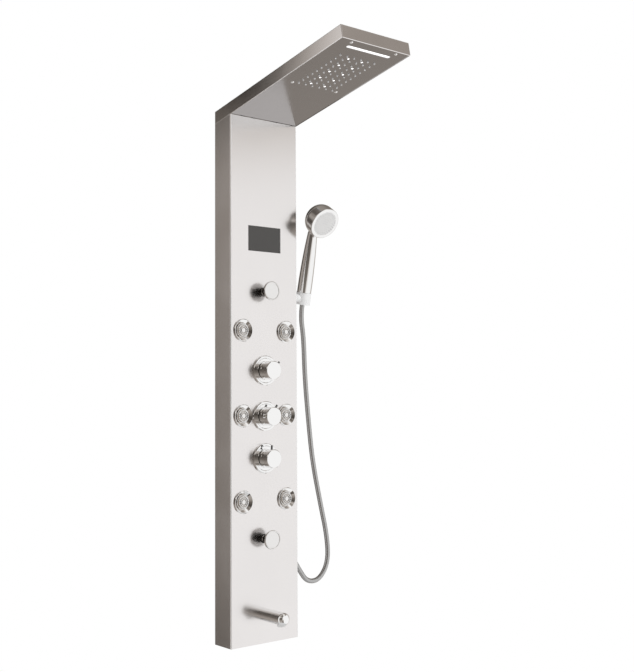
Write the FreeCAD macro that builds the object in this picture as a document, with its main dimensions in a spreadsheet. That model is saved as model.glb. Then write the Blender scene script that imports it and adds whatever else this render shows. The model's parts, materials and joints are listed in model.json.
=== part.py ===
import FreeCAD, Part
import math
import os
import Sketcher

# Shower panel column: a folded steel column on the wall with a sloping rain head, three
# mixer knobs, two stop knobs, six body jets, a spout and a hand shower on a hose.
# Millimetres. Z is up, the front faces -Y, the wall is the plane Y = 0 and the origin is
# on the wall at the bottom of the column's centre line. "Out" is the distance from the
# wall, so a place that is 66 out lies at Y = -66.

SIZES = {
    # folded column
    "panel_width": 200.0,
    "column_depth": 66.0,
    "seam_height": 1261.6,
    "sheet": 1.5,
    "fold_radius": 3.0,
    "lip_width": 18.0,
    # head box, which slopes up towards its front
    "head_tilt": 11.0,
    "head_thickness": 31.0,
    "head_reach": 415.7,
    "head_edge_radius": 1.4,
    "plate_recess": 1.0,
    "plate_start": 12.0,
    "joint_plate_height": 60.0,
    "joint_plate_length": 40.0,
    "joint_plate_back": 10.0,
    "joint_plate_gap": 4.0,
    # rain field: nozzles in a grid, lamps between them
    "nozzle_pitch_across": 20.0,
    "nozzle_pitch_along": 16.4,
    "nozzles_across": 6,
    "nozzles_along": 10,
    "nozzle_first": 202.4,
    "nozzle_radius": 2.0,
    "nozzle_bore": 0.9,
    "nozzle_tip_radius": 1.5,
    "nozzle_tip": 1.0,
    "nozzle_flange_radius": 3.2,
    "nozzle_flange": 1.2,
    "nozzle_stand": 1.6,
    "chamber_margin": 12.0,
    "chamber_side_margin": 20.0,
    "chamber_height": 12.0,
    "chamber_wall": 2.4,
    "lid_thickness": 2.5,
    "lamp_radius": 2.5,
    "lamp_boss_wall": 2.0,
    "board_thickness": 1.6,
    "board_margin": 10.0,
    "screw_across": 65.0,
    "screw_back": 198.0,
    "screw_front": 404.0,
    "screw_head_radius": 4.2,
    "screw_head_top": 1.2,
    "screw_head_height": 2.2,
    "screw_dome_radius": 5.0,
    "screw_shank_radius": 1.6,
    "screw_length": 9.0,
    # waterfall slot near the head's front
    "slot_place": 386.5,
    "slot_length": 126.0,
    "slot_width": 9.0,
    "slit_length": 114.0,
    "slit_width": 3.0,
    "fall_back": 376.0,
    "fall_front": 410.0,
    "fall_half_width": 70.0,
    "fall_height": 26.0,
    # wall brackets and the bars that hang on them
    "bar_height": 40.0,
    "bar_side_gap": 1.0,
    "hook_gap": 3.5,
    "hook_rise": 12.0,
    "bracket_width": 150.0,
    "bracket_height": 38.0,
    "bracket_upper_drop": 141.6,
    "bracket_lower": 160.0,
    "wall_screw_spacing": 120.0,
    "wall_screw_drop": 20.0,
    "wall_screw_radius": 3.0,
    # display
    "display_width": 97.0,
    "display_height": 61.0,
    "display_place": 969.0,
    "display_recess": 2.0,
    "window_thickness": 2.0,
    "display_border": 7.0,
    "display_depth": 20.0,
    "display_wall": 2.0,
    "display_inner_border": 3.5,
    # brass manifold with three cartridges
    "mixer_place": 650.0,
    "diverter_place": 540.0,
    "selector_place": 439.0,
    "manifold_width": 40.0,
    "manifold_back": 8.0,
    "manifold_front": 46.0,
    "manifold_head": 40.0,
    "base_width": 96.0,
    "base_height": 30.0,
    "base_drop": 14.0,
    "waterway_radius": 5.0,
    "inlet_across": 36.0,
    "inlet_radius": 10.48,
    "inlet_bore": 7.0,
    "inlet_length": 15.0,
    "inlet_depth": 18.0,
    "cartridge_radius": 14.0,
    "cartridge_seat": 22.0,
    "cartridge_nose_radius": 12.0,
    "cartridge_nose": 60.0,
    "cartridge_nut_radius": 17.5,
    "cartridge_nut_height": 10.0,
    "spindle_radius": 4.0,
    "spindle_start": 26.0,
    "spindle_reach": 22.0,
    # large knobs with their ring plates and index pins
    "ring_radius": 36.0,
    "ring_height": 5.0,
    "ring_hole_radius": 13.0,
    "ring_step_radius": 29.0,
    "ring_step": 1.5,
    "knob_radius": 22.4,
    "knob_front": 37.0,
    "knob_gap": 0.5,
    "knob_edge": 1.5,
    "pin_radius": 2.5,
    "pin_stand": 24.6,
    "pin_reach": 32.0,
    "pin_seat": 16.0,
    "mixer_angle": 51.0,
    "diverter_angle": 34.0,
    "selector_angle": 4.0,
    # small stop knobs
    "stop_upper_place": 841.0,
    "stop_lower_place": 247.0,
    "stop_body_width": 24.0,
    "stop_body_back": 20.0,
    "stop_body_front": 50.0,
    "stop_neck_radius": 9.0,
    "stop_neck_stand": 4.0,
    "stop_spindle_radius": 3.5,
    "stop_knob_radius": 23.0,
    "stop_knob_front": 31.0,
    "stop_rim": 6.0,
    "stop_rim_round": 2.0,
    "stop_dish": 1.0,
    "stop_dish_radius": 19.3,
    "stop_knob_neck_radius": 11.0,
    # body jets
    "jet_across": 64.5,
    "jet_upper": 745.5,
    "jet_middle": 541.8,
    "jet_lower": 338.4,
    "jet_ring_radius": 27.1,
    "jet_ring_height": 4.0,
    "jet_ring_edge": 1.5,
    "jet_bowl_radius": 24.6,
    "jet_bowl_floor_radius": 17.0,
    "jet_bowl_depth": 5.4,
    "jet_neck_radius": 22.0,
    "jet_ball_radius": 16.2,
    "jet_ball_sink": 7.7,
    "jet_ball_recess": 1.5,
    "jet_ball_back": 10.0,
    "jet_bore": 7.6,
    "jet_face_thickness": 3.0,
    "jet_hole_count": 8,
    "jet_hole_radius": 0.6,
    "jet_groove_inner": 5.4,
    "jet_groove_outer": 9.6,
    "jet_groove_width": 2.0,
    "jet_groove_depth": 1.4,
    "jet_box_width": 30.0,
    "jet_box_back": 24.0,
    "jet_box_front": 46.0,
    "jet_nut_radius": 27.0,
    "jet_nut_height": 6.0,
    # pipes inside the column
    "pipe_radius": 5.0,
    "pipe_wall": 1.0,
    "pipe_out": 30.0,
    "pipe_bend": 22.0,
    "pipe_bend_tight": 11.2,
    "jet_pipe_out": 35.0,
    "rain_pipe_across": 34.0,
    "turbine_width": 46.0,
    "turbine_drop": 111.6,
    "turbine_back": 14.0,
    "turbine_front": 46.0,
    "turbine_wall": 3.0,
    "turbine_cavity_radius": 19.0,
    "rotor_hub_radius": 5.0,
    "rotor_shaft_radius": 2.0,
    "rotor_shaft_seat": 1.8,
    "rotor_tip_gap": 0.8,
    "blade_thickness": 1.6,
    "blade_count": 6,
    # spout
    "spout_place": 67.0,
    "spout_radius": 15.5,
    "spout_length": 80.0,
    "spout_bore": 7.0,
    "spout_dome": 11.0,
    "spout_dome_radius": 11.15,
    "spout_nose_radius": 2.5,
    "spout_tail_radius": 10.48,
    "spout_tail_back": 40.0,
    "spout_block_width": 24.0,
    "spout_block_back": 20.0,
    "spout_nut_radius": 16.0,
    "spout_nut_height": 8.0,
    "aerator_place": 62.0,
    "aerator_radius": 10.0,
    "aerator_bore": 7.0,
    "aerator_height": 12.4,
    "aerator_edge": 1.0,
    "aerator_stand": 2.5,
    # hose outlet on the right side
    "outlet_place": 248.0,
    "outlet_out": 21.0,
    "outlet_reach": 20.0,
    "outlet_radius": 10.5,
    "outlet_bore": 4.5,
    "outlet_flange_radius": 15.0,
    "outlet_flange": 3.0,
    "outlet_drop": 20.0,
    "outlet_block_width": 24.0,
    "outlet_block_reach": 40.0,
    # hand shower, its holder and the fittings of its hose
    "holder_across": 148.0,
    "holder_out": 31.0,
    "holder_place": 835.0,
    "holder_lean": 13.5,
    "collar_radius": 19.0,
    "collar_height": 30.0,
    "collar_bore_top": 13.5,
    "collar_bore_bottom": 12.0,
    "arm_radius": 11.0,
    "arm_flange_radius": 17.0,
    "arm_flange": 4.0,
    "cone_clearance": 0.35,
    "handle_bottom_radius": 18.0,
    "handle_top_radius": 12.0,
    "handle_length": 150.0,
    "handle_swell": 1600.0,
    "handle_bore": 9.0,
    "handle_bore_length": 130.0,
    "face_drop": 34.0,
    "face_out": 119.3,
    "face_height": 1014.5,
    "face_radius": 40.0,
    "face_edge": 2.0,
    "face_depth": 22.0,
    "face_dome": 34.0,
    "spray_radius": 32.0,
    "spray_thickness": 3.0,
    "hose_radius": 6.0,
    "hose_bore": 4.0,
    "hose_nut_radius": 10.5,
    "hose_nut_height": 16.0,
    "hose_nut_taper": 5.0,
    "hose_nut_low_radius": 8.4,
    "hose_first_run": 30.0,
    "hose_last_run": 30.0,
    # clearances
    "seat_gap": 0.05,
    "running_gap": 0.08,
    "ball_gap": 0.3,
    "hole_gap": 0.3,
    "port_wall": 4.0,
    # how far a cutting shape runs past the face that it cuts
    "overcut": 1.0,
}

DOC = FreeCAD.newDocument("ShowerPanel")
SHEET = DOC.addObject("Spreadsheet::Sheet", "Sizes")

# Share of a run that a bend may take at each end when no radius is given.
RUN_SHARE = 0.45


class Size:
    """A length, angle or count together with the spreadsheet formula that gives it."""

    def __init__(self, value, text):
        self.value = value
        self.text = text

    def __add__(self, other):
        other = as_size(other)
        return Size(self.value + other.value, f"({self.text} + {other.text})")

    def __sub__(self, other):
        other = as_size(other)
        return Size(self.value - other.value, f"({self.text} - {other.text})")

    def __mul__(self, other):
        other = as_size(other)
        return Size(self.value * other.value, f"({self.text} * {other.text})")

    def __truediv__(self, other):
        other = as_size(other)
        return Size(self.value / other.value, f"({self.text} / {other.text})")

    def __radd__(self, other):
        return as_size(other) + self

    def __rsub__(self, other):
        return as_size(other) - self

    def __rmul__(self, other):
        return as_size(other) * self

    def __neg__(self):
        return Size(-self.value, f"(-1 * {self.text})")


def as_size(thing):
    return thing if isinstance(thing, Size) else Size(float(thing), f"({float(thing)})")


def cosine(angle):
    return Size(math.cos(math.radians(angle.value)), f"cos({angle.text} * 1 deg)")


def sine(angle):
    return Size(math.sin(math.radians(angle.value)), f"sin({angle.text} * 1 deg)")


def fill_sheet():
    """Write every driving size into the sheet and hand back what reads it."""
    for row, (name, number) in enumerate(SIZES.items(), start=1):
        SHEET.set(f"A{row}", name)
        SHEET.set(f"B{row}", str(number))
        SHEET.setAlias(f"B{row}", name)
    DOC.recompute()
    return {name: Size(float(SHEET.get(name)), f"Sizes.{name}") for name in SIZES}


S = fill_sheet()


# ---------------------------------------------------------------- building blocks

def bind(thing, prop, size):
    size = as_size(size)
    thing.setExpression(prop, size.text)


def place(thing, spot, axis=None, angle=0):
    """Put an object at a point, turned by an angle about an axis."""
    if axis is not None:
        thing.Placement = FreeCAD.Placement(
            FreeCAD.Vector(), FreeCAD.Rotation(FreeCAD.Vector(*axis), as_size(angle).value)
        )
        bind(thing, "Placement.Rotation.Angle", as_size(angle) * Size(1, "1 deg"))
    for letter, size in zip("xyz", spot):
        bind(thing, f"Placement.Base.{letter}", size)
    return thing


def box(label, low, high, axis=None, angle=0, corner=None):
    """A box between two corners of its own frame, whose origin is put at corner if given."""
    made = DOC.addObject("Part::Box", label)
    made.Label = label
    for prop, a, b in zip(("Length", "Width", "Height"), low, high):
        bind(made, prop, as_size(b) - as_size(a))
    return place(made, corner or low, axis, angle)


TURNS = {
    "up": None,
    "down": ((1, 0, 0), 180),
    "out": ((1, 0, 0), 90),
    "in": ((1, 0, 0), -90),
    "right": ((0, 1, 0), 90),
    "left": ((0, 1, 0), -90),
}


def turn_of(way):
    return way if isinstance(way, tuple) else TURNS[way]


def rod(label, radius, length, spot, way="up"):
    made = DOC.addObject("Part::Cylinder", label)
    made.Label = label
    bind(made, "Radius", radius)
    bind(made, "Height", length)
    turn = turn_of(way)
    return place(made, spot, *(turn or (None, 0)))


def cone(label, radius_start, radius_end, length, spot, way="up"):
    made = DOC.addObject("Part::Cone", label)
    made.Label = label
    bind(made, "Radius1", radius_start)
    bind(made, "Radius2", radius_end)
    bind(made, "Height", length)
    turn = turn_of(way)
    return place(made, spot, *(turn or (None, 0)))


def ball(label, radius, spot):
    made = DOC.addObject("Part::Sphere", label)
    made.Label = label
    bind(made, "Radius", radius)
    return place(made, spot)


def prism(label, radius, length, spot, way="up"):
    """A hexagonal bar, such as a nut, by its corner radius."""
    made = DOC.addObject("Part::Prism", label)
    made.Label = label
    made.Polygon = 6
    bind(made, "Circumradius", radius)
    bind(made, "Height", length)
    turn = turn_of(way)
    return place(made, spot, *(turn or (None, 0)))


def joined(label, pieces):
    made = DOC.addObject("Part::MultiFuse", label)
    made.Label = label
    made.Shapes = pieces
    made.Refine = True
    return made


def minus(label, base, tools):
    made = DOC.addObject("Part::Cut", label)
    made.Label = label
    made.Base = base
    made.Tool = tools[0] if len(tools) == 1 else joined(f"{label}_tools", tools)
    made.Refine = True
    return made


def group(label, pieces):
    """Separate solids that share one node."""
    made = DOC.addObject("Part::Compound", label)
    made.Label = label
    made.Links = pieces
    return made


def origin_plane(body, role):
    return next(part for part in body.Origin.OriginFeatures if part.Role == role)


def arc_between(start, end, radius):
    """An arc from start to end: to the left of the way for a positive radius, which turns
    counterclockwise, and the other way round for a negative one."""
    first = FreeCAD.Vector(start[0].value, start[1].value, 0)
    last = FreeCAD.Vector(end[0].value, end[1].value, 0)
    chord = last - first
    gap = math.sqrt(radius**2 - (chord.Length / 2) ** 2)
    side = FreeCAD.Vector(-chord.y, chord.x, 0).normalize() * math.copysign(gap, radius)
    middle = first + chord / 2 + side
    circle = Part.Circle(middle, FreeCAD.Vector(0, 0, 1), abs(radius))
    ends = [math.atan2(point.y - middle.y, point.x - middle.x) for point in (first, last)]
    if radius < 0:
        ends.reverse()
    return Part.ArcOfCircle(circle, *ends)


def sketch_outline(body, plane, name, points, arcs=None):
    """A closed outline whose corners are bound to the sheet. Its sides are straight lines,
    or arcs where a radius is given for the side's number."""
    sketch = body.newObject("Sketcher::SketchObject", name)
    sketch.AttachmentSupport = [(origin_plane(body, plane), "")]
    sketch.MapMode = "FlatFace"
    corners = [(as_size(a), as_size(b)) for a, b in points]
    arcs = arcs or {}
    count = len(corners)
    tails, tips = [], []
    for i in range(count):
        start, end = corners[i], corners[(i + 1) % count]
        if i in arcs:
            sketch.addGeometry(arc_between(start, end, arcs[i].value), False)
        else:
            first = FreeCAD.Vector(start[0].value, start[1].value, 0)
            last = FreeCAD.Vector(end[0].value, end[1].value, 0)
            sketch.addGeometry(Part.LineSegment(first, last), False)
        reverse = i in arcs and arcs[i].value < 0
        tails.append(2 if reverse else 1)
        tips.append(1 if reverse else 2)
    for i in range(count):
        after = (i + 1) % count
        sketch.addConstraint(Sketcher.Constraint("Coincident", i, tips[i], after, tails[after]))
    for i, corner in enumerate(corners):
        for kind, size in zip(("DistanceX", "DistanceY"), corner):
            rule = sketch.addConstraint(Sketcher.Constraint(kind, -1, 1, i, tails[i], size.value))
            bind(sketch, f"Constraints[{rule}]", size)
    for i, radius in arcs.items():
        rule = sketch.addConstraint(Sketcher.Constraint("Radius", i, abs(radius.value)))
        bind(sketch, f"Constraints[{rule}]", radius if radius.value > 0 else -radius)
    return sketch


def lathe(label, profile, spot, way="out", arcs=None):
    """A turned piece. The profile gives radius and height along the piece's axis."""
    body = DOC.addObject("PartDesign::Body", label)
    body.Label = label
    sketch = sketch_outline(body, "XZ_Plane", f"{label}_profile", profile, arcs)
    turned = body.newObject("PartDesign::Revolution", f"{label}_turned")
    turned.Profile = sketch
    turned.ReferenceAxis = (sketch, ["V_Axis"])
    turned.Angle = 360
    turn = turn_of(way)
    return place(body, spot, *(turn or (None, 0)))


def path_wire(points, bend=None):
    """Straight runs joined by tangent arcs. Without a bend radius each arc is as large as
    its runs allow. Gives the wire and its radii."""
    edges = []
    radii = []
    start = points[0]
    for before, here, after in zip(points, points[1:], points[2:]):
        back = (before - here).normalize()
        ahead = (after - here).normalize()
        turn = math.pi - back.getAngle(ahead)
        shorter = min((before - here).Length, (after - here).Length)
        radius = bend or RUN_SHARE * shorter / math.tan(turn / 2)
        reach = radius * math.tan(turn / 2)
        radii.append(radius)
        first = here + back * reach
        last = here + ahead * reach
        middle = (back + ahead).normalize()
        centre_gap = radius / math.cos(turn / 2)
        crown = here + middle * (centre_gap - radius)
        edges.append(Part.LineSegment(start, first).toShape())
        edges.append(Part.Arc(first, crown, last).toShape())
        start = last
    edges.append(Part.LineSegment(start, points[-1]).toShape())
    return Part.Wire(edges), radii


def swept(wire, radius, start, towards):
    shell = Part.BRepOffsetAPI.MakePipeShell(wire)
    shell.setFrenetMode(False)
    shell.add(Part.Wire([Part.makeCircle(radius, start, towards)]))
    shell.build()
    shell.makeSolid()
    return shell.shape()


def pipe(label, route, radius, bore, bend=None):
    """A tube along a route. Its sizes are read from the sheet."""
    points = [FreeCAD.Vector(*[as_size(c).value for c in point]) for point in route]
    wire, radii = path_wire(points, bend)
    towards = points[1] - points[0]
    solid = swept(wire, radius.value, points[0], towards)
    if bore is not None:
        solid = solid.cut(swept(wire, bore.value, points[0], towards))
    made = DOC.addObject("Part::Feature", label)
    made.Label = label
    made.Shape = solid
    return made, wire, radii


# ---------------------------------------------------------------- shared places

half_width = S["panel_width"] / 2
front = S["column_depth"]
inner_half = half_width - S["sheet"]
inner_front = front - S["sheet"]
tilt_cos = cosine(S["head_tilt"])
tilt_sin = sine(S["head_tilt"])
TILT = ((1, 0, 0), -S["head_tilt"])
HEAD_UP = TILT
HEAD_BACK = ((1, 0, 0), -90 - S["head_tilt"])
wall_run = -front / tilt_cos
over = S["overcut"]
plate_low = S["plate_recess"]
plate_high = S["plate_recess"] + S["sheet"]
top_inner = S["head_thickness"] - S["sheet"]


def out(distance):
    return -as_size(distance)


def in_head(across, along, rise):
    """A point of the head: along its slope from the column's front, and square to it."""
    along = as_size(along)
    rise = as_size(rise)
    return (
        as_size(across),
        -front - along * tilt_cos + rise * tilt_sin,
        S["seam_height"] + along * tilt_sin + rise * tilt_cos,
    )


def head_box(label, across, along, rise):
    """A box that lies in the head's sloping frame, by three pairs of limits."""
    low = (across[0], -as_size(along[1]), rise[0])
    high = (across[1], -as_size(along[0]), rise[1])
    return box(label, low, high, *TILT, corner=in_head(across[0], along[1], rise[0]))


# ---------------------------------------------------------------- column and head shells

KNOBS = {
    "mixer": (S["mixer_place"], S["mixer_angle"]),
    "diverter": (S["diverter_place"], S["diverter_angle"]),
    "selector": (S["selector_place"], S["selector_angle"]),
}
STOPS = {"upper": S["stop_upper_place"], "lower": S["stop_lower_place"]}
JETS = {
    f"{level}_{side}": (sign * S["jet_across"], S[f"jet_{level}"])
    for level in ("upper", "middle", "lower")
    for side, sign in (("left", -1), ("right", 1))
}


def rounded_column(label, half, back, outer, radius, bottom, top):
    """A column of rectangular section with its two front edges rounded."""
    body = DOC.addObject("PartDesign::Body", label)
    body.Label = label
    shoulder = radius - outer
    outline = [
        (-half, -back),
        (half, -back),
        (half, shoulder),
        (half - radius, -outer),
        (radius - half, -outer),
        (-half, shoulder),
    ]
    arcs = {2: -radius, 4: -radius}
    sketch = sketch_outline(body, "XY_Plane", f"{label}_section", outline, arcs)
    pad = body.newObject("PartDesign::Pad", f"{label}_pad")
    pad.Profile = sketch
    bind(pad, "Length", top - bottom)
    return place(body, (0, 0, bottom))


def front_hole(label, radius, across, height):
    """A round cut through the column's front sheet."""
    spot = (across, over - inner_front, height)
    return rod(label, radius, S["sheet"] + over * 2, spot, "out")


def column_shell():
    top = S["seam_height"] + S["head_thickness"]
    sheet = S["sheet"]
    outer = rounded_column("column_outer", half_width, as_size(0), front, S["fold_radius"], as_size(0), top)
    inner = rounded_column(
        "column_inner", inner_half, sheet, inner_front, S["fold_radius"] - sheet, sheet, top
    )
    mouth = half_width - S["lip_width"]
    gap = box("column_mouth", (-mouth, -sheet - over, S["lip_width"]), (mouth, over, top))
    # the sloping plane under the head cuts the column's top off
    cuts = [
        inner,
        gap,
        head_box("column_top_cut", (-front * 2, front * 2), (-front * 3, front), (0, front * 2)),
    ]
    for name, (height, _) in KNOBS.items():
        radius = S["cartridge_nut_radius"] + S["hole_gap"]
        cuts.append(front_hole(f"column_hole_{name}", radius, 0, height))
    for name, height in STOPS.items():
        radius = S["stop_neck_radius"] + S["hole_gap"]
        cuts.append(front_hole(f"column_hole_{name}", radius, 0, height))
    for name, (across, height) in JETS.items():
        radius = S["jet_neck_radius"] + S["hole_gap"]
        cuts.append(front_hole(f"column_hole_{name}", radius, across, height))
    radius = S["spout_tail_radius"] + S["hole_gap"]
    cuts.append(front_hole("column_hole_spout", radius, 0, S["spout_place"]))
    side_spots = (
        ("outlet", S["outlet_radius"], S["outlet_out"], S["outlet_place"]),
        ("holder", S["arm_radius"] / 2, S["holder_out"], S["holder_place"]),
    )
    for name, radius, away, height in side_spots:
        spot = (inner_half - over, -away, height)
        length = sheet + over * 2
        cuts.append(rod(f"column_hole_{name}", radius + S["hole_gap"], length, spot, "right"))
    half = S["display_width"] / 2 + S["hole_gap"]
    rise = S["display_height"] / 2 + S["hole_gap"]
    cuts.append(
        box(
            "column_hole_display",
            (-half, -front - over, S["display_place"] - rise),
            (half, over - inner_front, S["display_place"] + rise),
        )
    )
    return minus("column_shell", outer, cuts)


def slab(label, half, outline):
    """A symmetric plate: an outline in the side view, padded to both sides."""
    body = DOC.addObject("PartDesign::Body", label)
    body.Label = label
    sketch = sketch_outline(body, "YZ_Plane", f"{label}_outline", outline)
    pad = body.newObject("PartDesign::Pad", f"{label}_pad")
    pad.Profile = sketch
    pad.Midplane = True
    bind(pad, "Length", half * 2)
    return body


def rounded_edges(label, base, radius, keep):
    """Round the edges of a body whose middle passes a test. The radius is read from the
    sheet."""
    DOC.recompute()
    made = DOC.addObject("Part::Fillet", label)
    made.Label = label
    made.Base = base
    made.Edges = [
        (number, radius.value, radius.value)
        for number, edge in enumerate(base.Shape.Edges, start=1)
        if keep(edge.CenterOfMass)
    ]
    return made


def side_points(along_rise):
    return [in_head(0, along, rise)[1:] for along, rise in along_rise]


def head_top_shell():
    reach = S["head_reach"]
    deep = S["head_thickness"]
    back_bottom = (as_size(0), in_head(0, wall_run, 0)[2])
    back_top = (as_size(0), in_head(0, (deep * tilt_sin - front) / tilt_cos, deep)[2])
    outline = [back_bottom] + side_points([(reach, 0), (reach, deep)]) + [back_top]
    outer = slab("head_outer", half_width, outline)
    sheet = S["sheet"]
    top_run = (sheet - front + top_inner * tilt_sin) / tilt_cos
    inner_back_top = (-sheet, in_head(0, top_run, top_inner)[2])
    drop = -over
    inner_back_bottom = (-sheet, in_head(0, (sheet - front) / tilt_cos, drop)[2])
    inner_front_run = reach - sheet
    inner_outline = (
        [inner_back_bottom]
        + side_points([(inner_front_run, drop), (inner_front_run, top_inner)])
        + [inner_back_top]
    )
    inner = slab("head_inner", inner_half, inner_outline)
    folded = rounded_edges(
        "head_folded", outer, S["head_edge_radius"], lambda middle: middle.y < -S["sheet"].value
    )
    return minus("head_top_shell", folded, [inner])


nozzle_last = S["nozzle_first"] + (S["nozzles_along"] - 1) * S["nozzle_pitch_along"]
nozzle_side = (S["nozzles_across"] - 1) * S["nozzle_pitch_across"] / 2
chamber_back = S["nozzle_first"] - S["chamber_margin"]
chamber_front = nozzle_last + S["chamber_margin"]
chamber_half = nozzle_side + S["chamber_side_margin"]
chamber_top = plate_high + S["chamber_height"]
lid_top = chamber_top + S["lid_thickness"]
board_top = lid_top + S["board_thickness"]
lamp_rows = int(S["nozzles_along"].value) // 2


def nozzle_spots():
    """Every nozzle of the rain field, by its column and row."""
    for column in range(int(S["nozzles_across"].value)):
        for row in range(int(S["nozzles_along"].value)):
            across = column * S["nozzle_pitch_across"] - nozzle_side
            along = S["nozzle_first"] + row * S["nozzle_pitch_along"]
            yield f"{column}_{row}", across, along


def lamp_spots():
    """The lamps sit at cell centres of the nozzle grid, in two rows along the head."""
    for side in (-1, 1):
        for row in range(lamp_rows):
            along = S["nozzle_first"] + (2 * row + 0.5) * S["nozzle_pitch_along"]
            yield f"{side + 1}_{row}", side * S["nozzle_pitch_across"], along


def screw_spots():
    for side in (-1, 1):
        for along in ("back", "front"):
            yield f"{side + 1}_{along}", side * S["screw_across"], S[f"screw_{along}"]


def head_rod(label, radius, length, across, along, rise, way=HEAD_UP):
    return rod(label, radius, length, in_head(across, along, rise), way)


def head_hole(label, radius, across, along, high):
    """A round cut square to the head, from under its plate up to a rise."""
    return head_rod(label, radius, high + over, across, along, -over)


def head_spray_plate():
    sheet = head_box(
        "spray_sheet",
        (-inner_half, inner_half),
        (-S["plate_start"], S["head_reach"] - S["sheet"]),
        (plate_low, plate_high),
    )
    cuts = []
    for name, across, along in nozzle_spots():
        radius = S["nozzle_radius"] + S["seat_gap"]
        cuts.append(head_hole(f"plate_nozzle_{name}", radius, across, along, plate_high + over))
    for name, across, along in lamp_spots():
        radius = S["lamp_radius"] + S["seat_gap"]
        cuts.append(head_hole(f"plate_lamp_{name}", radius, across, along, plate_high + over))
    for name, across, along in screw_spots():
        radius = S["screw_shank_radius"] + S["seat_gap"]
        cuts.append(head_hole(f"plate_screw_{name}", radius, across, along, plate_high + over))
    run = (S["slot_length"] - S["slot_width"]) / 2
    ends = S["slot_width"] / 2
    cuts.append(
        head_box(
            "plate_slot",
            (-run, run),
            (S["slot_place"] - ends, S["slot_place"] + ends),
            (plate_low - over, plate_high + over),
        )
    )
    for side in (-1, 1):
        end_name = f"plate_slot_end_{side + 1}"
        cuts.append(head_hole(end_name, ends, side * run, S["slot_place"], plate_high + over))
    return minus("head_spray_plate", sheet, cuts)


def rain_chamber():
    floor_top = plate_high + S["chamber_wall"]
    tray = head_box(
        "chamber_block",
        (-chamber_half, chamber_half),
        (chamber_back, chamber_front),
        (plate_high, chamber_top),
    )
    wall = S["chamber_wall"]
    room = chamber_half - wall
    hollow = head_box(
        "chamber_hollow",
        (-room, room),
        (chamber_back + wall, chamber_front - wall),
        (floor_top, chamber_top + over),
    )
    solid = [minus("chamber_tray", tray, [hollow])]
    for name, across, along in lamp_spots():
        radius = S["lamp_radius"] + S["lamp_boss_wall"]
        solid.append(
            head_rod(f"chamber_boss_{name}", radius, S["chamber_height"], across, along, plate_high)
        )
    block = S["screw_head_radius"] * 2 + wall
    for side in (-1, 1):
        edges = sorted((side * chamber_half, side * (chamber_half - block)), key=lambda e: e.value)
        solid.append(
            head_box(
                f"chamber_corner_{side + 1}",
                edges,
                (chamber_back, chamber_back + block * 2),
                (plate_high, chamber_top),
            )
        )
    spigot_rise = (plate_high + chamber_top) / 2
    solid.append(
        head_rod(
            "chamber_spigot", S["pipe_radius"], S["chamber_margin"],
            -S["rain_pipe_across"], chamber_back, spigot_rise, HEAD_BACK,
        )
    )
    cuts = []
    for name, across, along in nozzle_spots():
        radius = S["nozzle_radius"] + S["seat_gap"]
        cuts.append(head_hole(f"chamber_nozzle_{name}", radius, across, along, floor_top + over))
        seat = S["nozzle_flange_radius"] + S["seat_gap"]
        cuts.append(
            head_hole(
                f"chamber_seat_{name}", seat, across, along,
                plate_high + S["nozzle_flange"] + S["seat_gap"],
            )
        )
    for name, across, along in lamp_spots():
        radius = S["lamp_radius"] + S["seat_gap"]
        cuts.append(head_hole(f"chamber_lamp_{name}", radius, across, along, chamber_top + over))
    for name, across, along in screw_spots():
        radius = S["screw_shank_radius"] + S["seat_gap"]
        high = plate_low + S["screw_length"] + over
        cuts.append(head_hole(f"chamber_screw_{name}", radius, across, along, high))
    cuts.append(
        head_rod(
            "chamber_inlet", S["pipe_radius"] - S["pipe_wall"], S["chamber_margin"] + wall * 2,
            -S["rain_pipe_across"], chamber_back + wall + over, spigot_rise, HEAD_BACK,
        )
    )
    return minus("rain_chamber", joined("chamber_solid", solid), cuts)


def rain_chamber_lid():
    plate = head_box(
        "lid_plate",
        (-chamber_half, chamber_half),
        (chamber_back, chamber_front),
        (chamber_top, lid_top),
    )
    radius = S["lamp_radius"] + S["seat_gap"]
    cuts = [
        head_hole(f"lid_lamp_{name}", radius, across, along, lid_top + over)
        for name, across, along in lamp_spots()
    ]
    return minus("rain_chamber_lid", plate, cuts)


def rain_nozzles():
    """Rubber nozzles: a flange under the chamber's floor and a tip below the plate."""
    flange = plate_high + S["nozzle_flange"]
    tip = -S["nozzle_stand"]
    hole = S["nozzle_bore"]
    profile = [
        (hole, tip),
        (S["nozzle_tip_radius"], tip),
        (S["nozzle_radius"], tip + S["nozzle_tip"]),
        (S["nozzle_radius"], plate_high),
        (S["nozzle_flange_radius"], plate_high),
        (S["nozzle_flange_radius"], flange),
        (hole, flange),
    ]
    body = DOC.addObject("PartDesign::Body", "rain_nozzles")
    body.Label = "rain_nozzles"
    body.AllowCompound = True
    sketch = sketch_outline(body, "XZ_Plane", "nozzle_profile", profile)
    turned = body.newObject("PartDesign::Revolution", "nozzle_turned")
    turned.Profile = sketch
    turned.ReferenceAxis = (sketch, ["V_Axis"])
    turned.Angle = 360
    DOC.recompute()
    field = body.newObject("PartDesign::MultiTransform", "nozzle_field")
    across = body.newObject("PartDesign::LinearPattern", "nozzle_columns")
    along = body.newObject("PartDesign::LinearPattern", "nozzle_rows")
    field.Originals = [turned]
    across.Direction = (origin_plane(body, "X_Axis"), [""])
    bind(across, "Length", S["nozzle_pitch_across"] * (S["nozzles_across"] - 1))
    bind(across, "Occurrences", S["nozzles_across"])
    along.Direction = (origin_plane(body, "Y_Axis"), [""])
    along.Reversed = True
    bind(along, "Length", S["nozzle_pitch_along"] * (S["nozzles_along"] - 1))
    bind(along, "Occurrences", S["nozzles_along"])
    field.Transformations = [across, along]
    body.Tip = field
    return place(body, in_head(-nozzle_side, S["nozzle_first"], 0), *TILT)


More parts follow.
